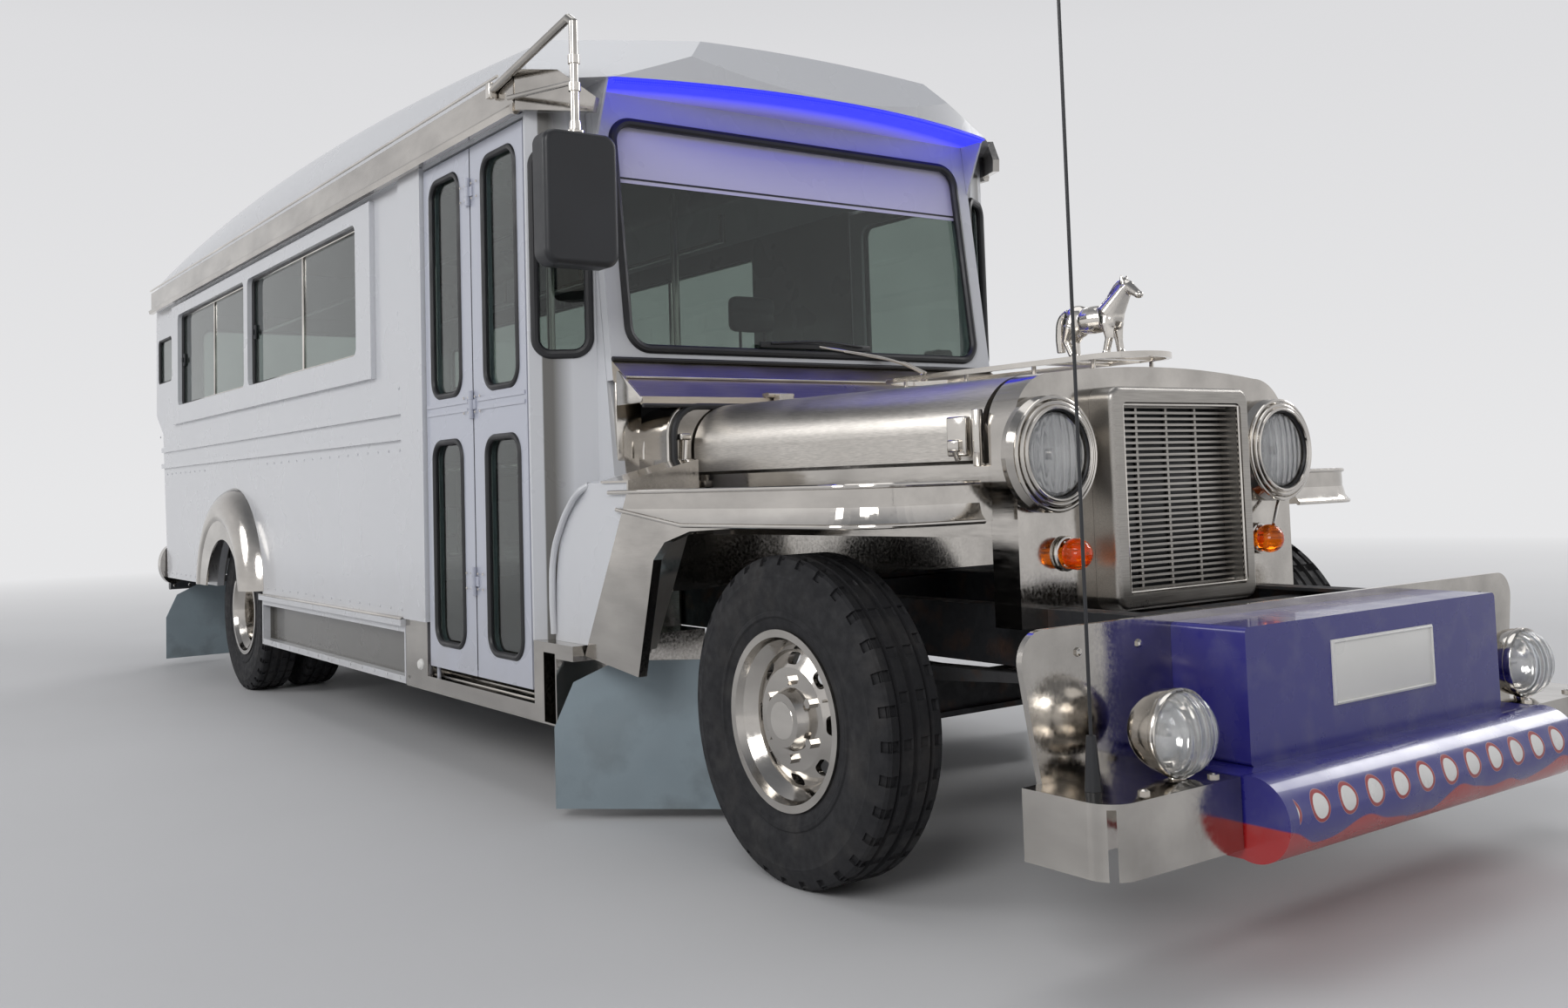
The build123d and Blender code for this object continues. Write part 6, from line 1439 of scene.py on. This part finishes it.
def padded_block(name, low, high, edge, swell):
    """Cushion from a rounded block, blown up by cloth."""
    mesh = clean_part()
    inset = Vector((swell, swell, swell)) * 0.5
    add_block(mesh, Vector(low) + inset, Vector(high) - inset, edge, 3)
    data = bpy.data.meshes.new(name)
    mesh.to_mesh(data)
    mesh.free()
    holder = bpy.data.objects.new(name, data)
    bpy.context.scene.collection.objects.link(holder)
    even = holder.modifiers.new("even", "REMESH")
    even.mode = "VOXEL"
    even.voxel_size = 0.0075
    data = bpy.data.meshes.new_from_object(holder.evaluated_get(bpy.context.evaluated_depsgraph_get()))
    holder.modifiers.clear()
    holder.data = data
    blow_up(holder, swell)
    mesh = clean_part()
    mesh.from_mesh(holder.data)
    bpy.data.objects.remove(holder)
    return mesh


def blow_up(holder, swell):
    """Lets a cloth run fill the skin with air, and holds each point within swell of its start."""
    last_frame, pressure = 20, 4
    data, scene = holder.data, bpy.context.scene
    rest = [v.co.copy() for v in data.vertices]
    cloth = holder.modifiers.new("cloth", "CLOTH")
    cloth.settings.use_pressure = True
    cloth.settings.uniform_pressure_force = pressure
    cloth.settings.effector_weights.gravity = 0
    cloth.point_cache.frame_end = last_frame
    for number in range(1, last_frame + 1):
        scene.frame_set(number)
    blown = holder.evaluated_get(bpy.context.evaluated_depsgraph_get()).data
    moved = [v.co.copy() for v in blown.vertices]
    holder.modifiers.clear()
    scene.frame_set(1)
    for vertex, start, end in zip(data.vertices, rest, moved):
        step = end - start
        if step.length > swell:
            step *= swell / step.length
        vertex.co = start + step


def sew(mesh, axis, places, face, depth, width):
    """Presses sewn channels into a pad at places along axis, on the side that face points to."""
    for vertex in mesh.verts:
        if vertex.normal.dot(face) < 0.3:
            continue
        near = min(abs(vertex.co[axis] - place) for place in places)
        vertex.co -= face * depth * max(0.0, 1 - (near / width) ** 2) ** 2


def keep_inside(mesh, low, high):
    """Holds a pad inside its space."""
    for vertex in mesh.verts:
        for axis in range(3):
            vertex.co[axis] = min(max(vertex.co[axis], low[axis]), high[axis])


class JEEPNEY_OT_driver_seat(bpy.types.Operator):
    """Padded driver's seat on its pedestal"""

    bl_idname = "jeepney.driver_seat"
    bl_label = "Driver's seat"

    def execute(self, context):
        swell, seam_depth, seam_width, slack = 0.022, 0.009, 0.022, 0.004
        for name, start, end, edge, face, axis, seams in (
            (
                "driver_cushion", (0.765, 0.195, 1.000), (1.165, 0.615, 1.112), 0.030, UP,
                0, (0.86, 0.96, 1.06),
            ),
            (
                "driver_backrest", (0.690, 0.200, 1.075), (0.800, 0.610, 1.520), 0.032, OUT_X,
                2, (1.19, 1.30, 1.41),
            ),
            (
                "driver_headrest", (0.685, 0.285, 1.560), (0.768, 0.525, 1.728), 0.028, OUT_X,
                2, (1.645,),
            ),
        ):
            pad = padded_block(name, start, end, edge, swell)
            pad.normal_update()
            sew(pad, axis, seams, face, seam_depth, seam_width)
            low = Vector(start) - Vector((0, slack, slack / 2))
            high = Vector(end) + Vector((slack, slack, slack))
            keep_inside(pad, low, high)
            bmesh.ops.smooth_vert(
                pad, verts=pad.verts, factor=0.4, use_axis_x=True, use_axis_y=True, use_axis_z=True,
            )
            piece = put(name, pad, "vehicle", finish("seat"), 80)
            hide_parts("driver_seat")
        self.pedestal()
        return {"FINISHED"}

    def pedestal(self):
        """Foot plate, column and pan under the cushion, and the headrest's two stalks."""
        base = clean_part()
        add_block(base, (0.80, 0.235, FLOOR_TOP), (1.12, 0.575, 0.70), edge=0.006)
        add_block(base, (0.83, 0.265, 0.69), (1.09, 0.545, 0.975), edge=0.018, steps=3)
        add_block(base, (0.775, 0.205, 0.970), (1.150, 0.605, 1.006), edge=0.010)
        for y in (0.345, 0.465):
            add_rod(base, (0.728, y, 1.50), (0.728, y, 1.60), 0.006)
        put("driver_seat_pedestal", base, "vehicle", finish("dash"))


def add_crowned_pad(mesh, low, high, crown):
    """Pad between two corners whose face rises by the crown vector at its middle."""
    pad = clean_part()
    add_block(pad, low, high, edge=0.022, steps=3)
    long_edges = [e for e in pad.edges if e.calc_length() > 0.1]
    bmesh.ops.subdivide_edges(pad, edges=long_edges, cuts=5, use_grid_fill=True)
    middle, half = (Vector(low) + Vector(high)) / 2, (Vector(high) - Vector(low)) / 2
    for vertex in pad.verts:
        off = vertex.co - middle
        bulge = max(0.0, 1 - (off.x / half.x) ** 2)
        other = off.y / half.y if crown.z else off.z / half.z
        if off.dot(crown) > 0:
            vertex.co += crown * bulge * max(0.0, 1 - other ** 2)
    join(mesh, pad)


class JEEPNEY_OT_benches(bpy.types.Operator):
    """Padded benches along both sides, one crowned pad for each rider"""

    bl_idname = "jeepney.benches"
    bl_label = "Benches"

    def execute(self, context):
        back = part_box("benches")[0].x
        riders, gap, edge_y, back_y, wall_y = 8, 0.004, 0.445, 0.868, 0.920
        cushion_foot, cushion_top, rest_foot, rest_top = 1.062, 1.140, 1.145, 1.415
        seat_crown, rest_crown = Vector((0, 0, 0.012)), Vector((0, -0.010, 0))
        frames, legs = clean_part(), clean_part()
        for word, side, front in (("right", RIGHT, 0.345), ("left", LEFT, 0.535)):
            length = (front - back) / riders
            pads = clean_part()
            for number in range(riders):
                start = back + number * length
                end = start + length - gap
                add_crowned_pad(
                    pads, (start + gap, edge_y, cushion_foot), (end, back_y, cushion_top), seat_crown,
                )
                add_crowned_pad(
                    pads, (start + gap, back_y, rest_foot), (end, wall_y, rest_top), rest_crown,
                )
            bmesh.ops.scale(pads, vec=(1, side, 1), verts=pads.verts)
            bmesh.ops.recalc_face_normals(pads, faces=pads.faces)
            piece = put("bench_pads_" + word, pads, "vehicle", finish("bench"), 60)
            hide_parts("benches")
            self.add_frame(frames, legs, side, back, front)
        put("bench_frames", frames, "vehicle", finish("dash"))
        put("bench_legs", legs, "vehicle", finish("chrome"))
        return {"FINISHED"}

    def add_frame(self, frames, legs, side, back, front):
        """Tray and skirt under one bench, and its row of bent legs."""
        under_tray, leg_y, foot_y, leg_pitch, first_leg = 1.045, side * 0.47, side * 0.52, 0.62, -3.35
        tray = sorted((side * 0.450, side * 0.924))
        skirt = sorted((side * 0.700, side * 0.720))
        add_block(frames, (back + 0.01, tray[0], 1.040), (front - 0.01, tray[1], 1.064), edge=0.005)
        add_block(
            frames, (back + 0.02, skirt[0], FLOOR_TOP + 0.215), (front - 0.02, skirt[1], under_tray),
            edge=0.004,
        )
        for x in (n * leg_pitch + first_leg for n in range(6 + (side == LEFT))):
            leg = [(x, leg_y, under_tray), (x, leg_y, FLOOR_TOP + 0.01), (x, foot_y, FLOOR_TOP + 0.008)]
            add_tube(legs, leg, 0.013)


class JEEPNEY_OT_cabin(bpy.types.Operator):
    """Grab rails and posts, and the dashboard's dials, vents and screen"""

    bl_idname = "jeepney.cabin"
    bl_label = "Cabin"

    def execute(self, context):
        rails, dials, face = clean_part(), clean_part(), clean_part()
        rail_y, rail_height, ceiling, rail_back, rail_front = 0.42, 1.99, 2.10, -3.35, 0.50
        for y in (-rail_y, rail_y):
            route = [
                (rail_back, y, ceiling), (rail_back, y, rail_height),
                (rail_front, y, rail_height), (rail_front, y, ceiling),
            ]
            add_tube(rails, route, 0.014)
            for x in (-2.6, -1.7, -0.8):
                add_rod(rails, (x, y, rail_height), (x, y, ceiling + 0.02), 0.010)
        for x, y in ((0.56, -rail_y), (0.60, 0.12)):
            add_rod(rails, (x, y, FLOOR_TOP), (x, y, ceiling + 0.04), 0.016)
        put("cabin_grab_rails", rails, "vehicle", finish("chrome"))
        dial = [(0, 0), (0.048, 0), (0.048, 0.010), (0.042, 0.012), (0.040, 0.006), (0, 0.006)]
        vent_half = 0.055
        for y in (0.34, 0.47):
            add_turned(dials, dial, (1.30, y, 1.255), axis=(-1, 0, 0.25))
        for y in (-0.52, -0.20, 0.10, 0.62):
            add_block(dials, (1.285, y - vent_half, 1.205), (1.300, y + vent_half, 1.255), edge=0.008)
        put("dashboard_dials", dials, "vehicle", finish("black"))
        add_block(face, (1.245, -0.16, 1.18), (1.29, 0.04, 1.285), edge=0.010, steps=3)
        put("dashboard_screen", face, "vehicle", finish("dark_steel"))
        return {"FINISHED"}


class JEEPNEY_OT_stage(bpy.types.Operator):
    """Pale floor, soft lamps, pale surroundings and the camera of the photograph"""

    bl_idname = "jeepney.stage"
    bl_label = "Stage"

    def execute(self, context):
        scene = context.scene
        self.floor(scene)
        self.lamps(scene)
        self.surroundings(scene)
        self.camera(scene)
        scene.view_settings.view_transform = "Standard"
        return {"FINISHED"}

    def floor(self, scene):
        """Wide pale floor with faint clouding."""
        floor = clean_part()
        bmesh.ops.create_grid(floor, x_segments=8, y_segments=8, size=60)
        data = bpy.data.meshes.new("studio_floor")
        floor.to_mesh(data)
        floor.free()
        ground = bpy.data.objects.new("studio_floor", data)
        scene.collection.objects.link(ground)
        tone = tuple(scene.jeepney_colours.floor)
        tree = FinishTree("studio_floor_paint", tone, 0.6)
        cloud = tree.span(tree.grain(0.6, 5), 0.3, 0.7, 0, 1)
        tree.drive("Base Color", tree.mix(cloud, tone, shade(tone, 0.96)))
        self.pale_distance(tree)
        data.materials.append(tree.material)

    def lamps(self, scene):
        """Round soft lamps on every side and above, aimed at the middle of the body."""
        target = Vector((0.5, 0, 1.0))
        for name, place, size, power in (
            ("key_lamp", (9.5, -10.5, 8.0), 6.0, 600), ("fill_lamp", (4.0, 13.0, 8.0), 6.0, 480),
            ("side_lamp", (-4.0, -12.5, 7.0), 6.0, 400), ("back_lamp", (-11.0, 8.0, 8.5), 6.0, 380),
            ("roof_lamp", (0.0, 0.0, 12.0), 9.0, 220),
        ):
            lamp = bpy.data.lights.new(name, "AREA")
            lamp.shape = "DISK"
            lamp.size = size
            lamp.energy = power
            holder = bpy.data.objects.new(name, lamp)
            holder.location = place
            holder.rotation_euler = (target - Vector(place)).to_track_quat("-Z", "Y").to_euler()
            scene.collection.objects.link(holder)

    def pale_distance(self, tree):
        """Floor that goes over into the pale surroundings far from the vehicle."""
        near, far_off = 5.5, 15
        nodes, links = tree.nodes, tree.links
        reach = nodes.new("ShaderNodeVectorMath")
        reach.operation = "LENGTH"
        links.new(tree.place, reach.inputs[0])
        seen = self.looked_at(nodes, links)
        far = tree.maths("MULTIPLY", tree.span(reach.outputs["Value"], near, far_off, 0, 1), seen)
        haze = nodes.new("ShaderNodeEmission")
        haze.inputs["Color"].default_value = (*PALE, 1)
        both = nodes.new("ShaderNodeMixShader")
        links.new(far, both.inputs["Fac"])
        links.new(tree.shader.outputs["BSDF"], both.inputs[1])
        links.new(haze.outputs["Emission"], both.inputs[2])
        links.new(both.outputs["Shader"], nodes["Material Output"].inputs["Surface"])

    def looked_at(self, nodes, links):
        """1 for what the camera sees, straight, in a mirror or through glass, 0 for stray light."""
        path = nodes.new("ShaderNodeLightPath")
        seen = path.outputs["Is Camera Ray"]
        for way in ("Is Glossy Ray", "Is Transmission Ray"):
            either = nodes.new("ShaderNodeMath")
            either.operation = "MAXIMUM"
            links.new(seen, either.inputs[0])
            links.new(path.outputs[way], either.inputs[1])
            seen = either.outputs["Value"]
        return seen

    def surroundings(self, scene):
        """World that lights softly and shows a pale background, darker towards the zenith."""
        light, strength = (0.84, 0.85, 0.87), 0.42
        middle_height, middle_tone = 0.30, (0.72, 0.72, 0.735)
        top_height, top_tone = 0.85, (0.24, 0.25, 0.27)
        world = bpy.data.worlds.new("studio")
        scene.world = world
        world.use_nodes = True
        nodes, links = world.node_tree.nodes, world.node_tree.links
        nodes.clear()
        out = nodes.new("ShaderNodeOutputWorld")
        lit, seen = nodes.new("ShaderNodeBackground"), nodes.new("ShaderNodeBackground")
        lit.inputs["Color"].default_value = (*light, 1)
        lit.inputs["Strength"].default_value = strength
        place = nodes.new("ShaderNodeTexCoord")
        split = nodes.new("ShaderNodeSeparateXYZ")
        links.new(place.outputs["Generated"], split.inputs["Vector"])
        ramp = nodes.new("ShaderNodeValToRGB")
        foot, top = ramp.color_ramp.elements
        foot.position = 0.0
        foot.color = (*PALE, 1)
        top.position = top_height
        top.color = (*top_tone, 1)
        ramp.color_ramp.elements.new(middle_height).color = (*middle_tone, 1)
        links.new(split.outputs["Z"], ramp.inputs["Fac"])
        links.new(ramp.outputs["Color"], seen.inputs["Color"])
        mix = nodes.new("ShaderNodeMixShader")
        links.new(self.looked_at(nodes, links), mix.inputs["Fac"])
        links.new(lit.outputs["Background"], mix.inputs[1])
        links.new(seen.outputs["Background"], mix.inputs[2])
        links.new(mix.outputs["Shader"], out.inputs["Surface"])

    def camera(self, scene):
        """Camera at the photograph's place, fitted to the body's own edges."""
        turn, pitch, roll = radians(35.845), radians(-3.434), radians(1.787)
        eye, sensor, shift = (5.358, -2.788, 0.952), 36, -0.0664
        ahead = Vector((-cos(turn) * cos(pitch), sin(turn) * cos(pitch), -sin(pitch)))
        level = Vector((sin(turn), cos(turn), 0))
        down = ahead.cross(level)
        right = level * cos(roll) + down * sin(roll)
        under = down * cos(roll) - level * sin(roll)
        lens = bpy.data.cameras.new("photograph_camera")
        lens.sensor_width = sensor
        lens.lens = scene.jeepney_sizes.lens
        lens.shift_y = shift
        lens.clip_start, lens.clip_end = 0.05, 200
        view = bpy.data.objects.new("photograph_camera", lens)
        axes = Matrix((right, -under, -ahead)).transposed()
        view.matrix_world = Matrix.Translation(eye) @ axes.to_4x4()
        scene.collection.objects.link(view)
        scene.camera = view


OPERATORS = (
    JEEPNEY_OT_finishes, JEEPNEY_OT_gaskets, JEEPNEY_OT_sliding_windows, JEEPNEY_OT_windscreen,
    JEEPNEY_OT_visor_light, JEEPNEY_OT_tyres, JEEPNEY_OT_wheel_trim, JEEPNEY_OT_headlamps,
    JEEPNEY_OT_bumper_lamps, JEEPNEY_OT_small_lamps, JEEPNEY_OT_hood_trim, JEEPNEY_OT_fender_trim,
    JEEPNEY_OT_grille_trim, JEEPNEY_OT_scuttle_trim, JEEPNEY_OT_ornament, JEEPNEY_OT_body_trim,
    JEEPNEY_OT_nose_bar_trim, JEEPNEY_OT_rear_trim, JEEPNEY_OT_steps, JEEPNEY_OT_door_trim,
    JEEPNEY_OT_mirrors, JEEPNEY_OT_driver_seat, JEEPNEY_OT_benches, JEEPNEY_OT_cabin, JEEPNEY_OT_stage,
)


class JEEPNEY_PT_panel(bpy.types.Panel):
    """Sizes, colours and pieces of the jeepney"""

    bl_idname = "JEEPNEY_PT_panel"
    bl_label = "Jeepney"
    bl_space_type = "VIEW_3D"
    bl_region_type = "UI"
    bl_category = "Jeepney"

    def draw(self, context):
        for group in (context.scene.jeepney_colours, context.scene.jeepney_sizes):
            for name in group.bl_rna.properties.keys():
                if name not in ("name", "rna_type"):
                    self.layout.prop(group, name)
        for operator in OPERATORS:
            self.layout.operator(operator.bl_idname)


CLASSES = (JeepneyColours, JeepneySizes, *OPERATORS, JEEPNEY_PT_panel)


def register():
    """Adds the classes to Blender, and the two groups of settings to its scenes."""
    for part in CLASSES:
        bpy.utils.register_class(part)
    bpy.types.Scene.jeepney_colours = bpy.props.PointerProperty(type=JeepneyColours)
    bpy.types.Scene.jeepney_sizes = bpy.props.PointerProperty(type=JeepneySizes)


def unregister():
    """Takes the settings and the classes out again."""
    del bpy.types.Scene.jeepney_sizes
    del bpy.types.Scene.jeepney_colours
    for part in reversed(CLASSES):
        bpy.utils.unregister_class(part)


def main():
    """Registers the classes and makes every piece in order."""
    register()
    for operator in OPERATORS:
        group, action = operator.bl_idname.split(".")
        getattr(getattr(bpy.ops, group), action)()


if __name__ == "__main__":
    main()
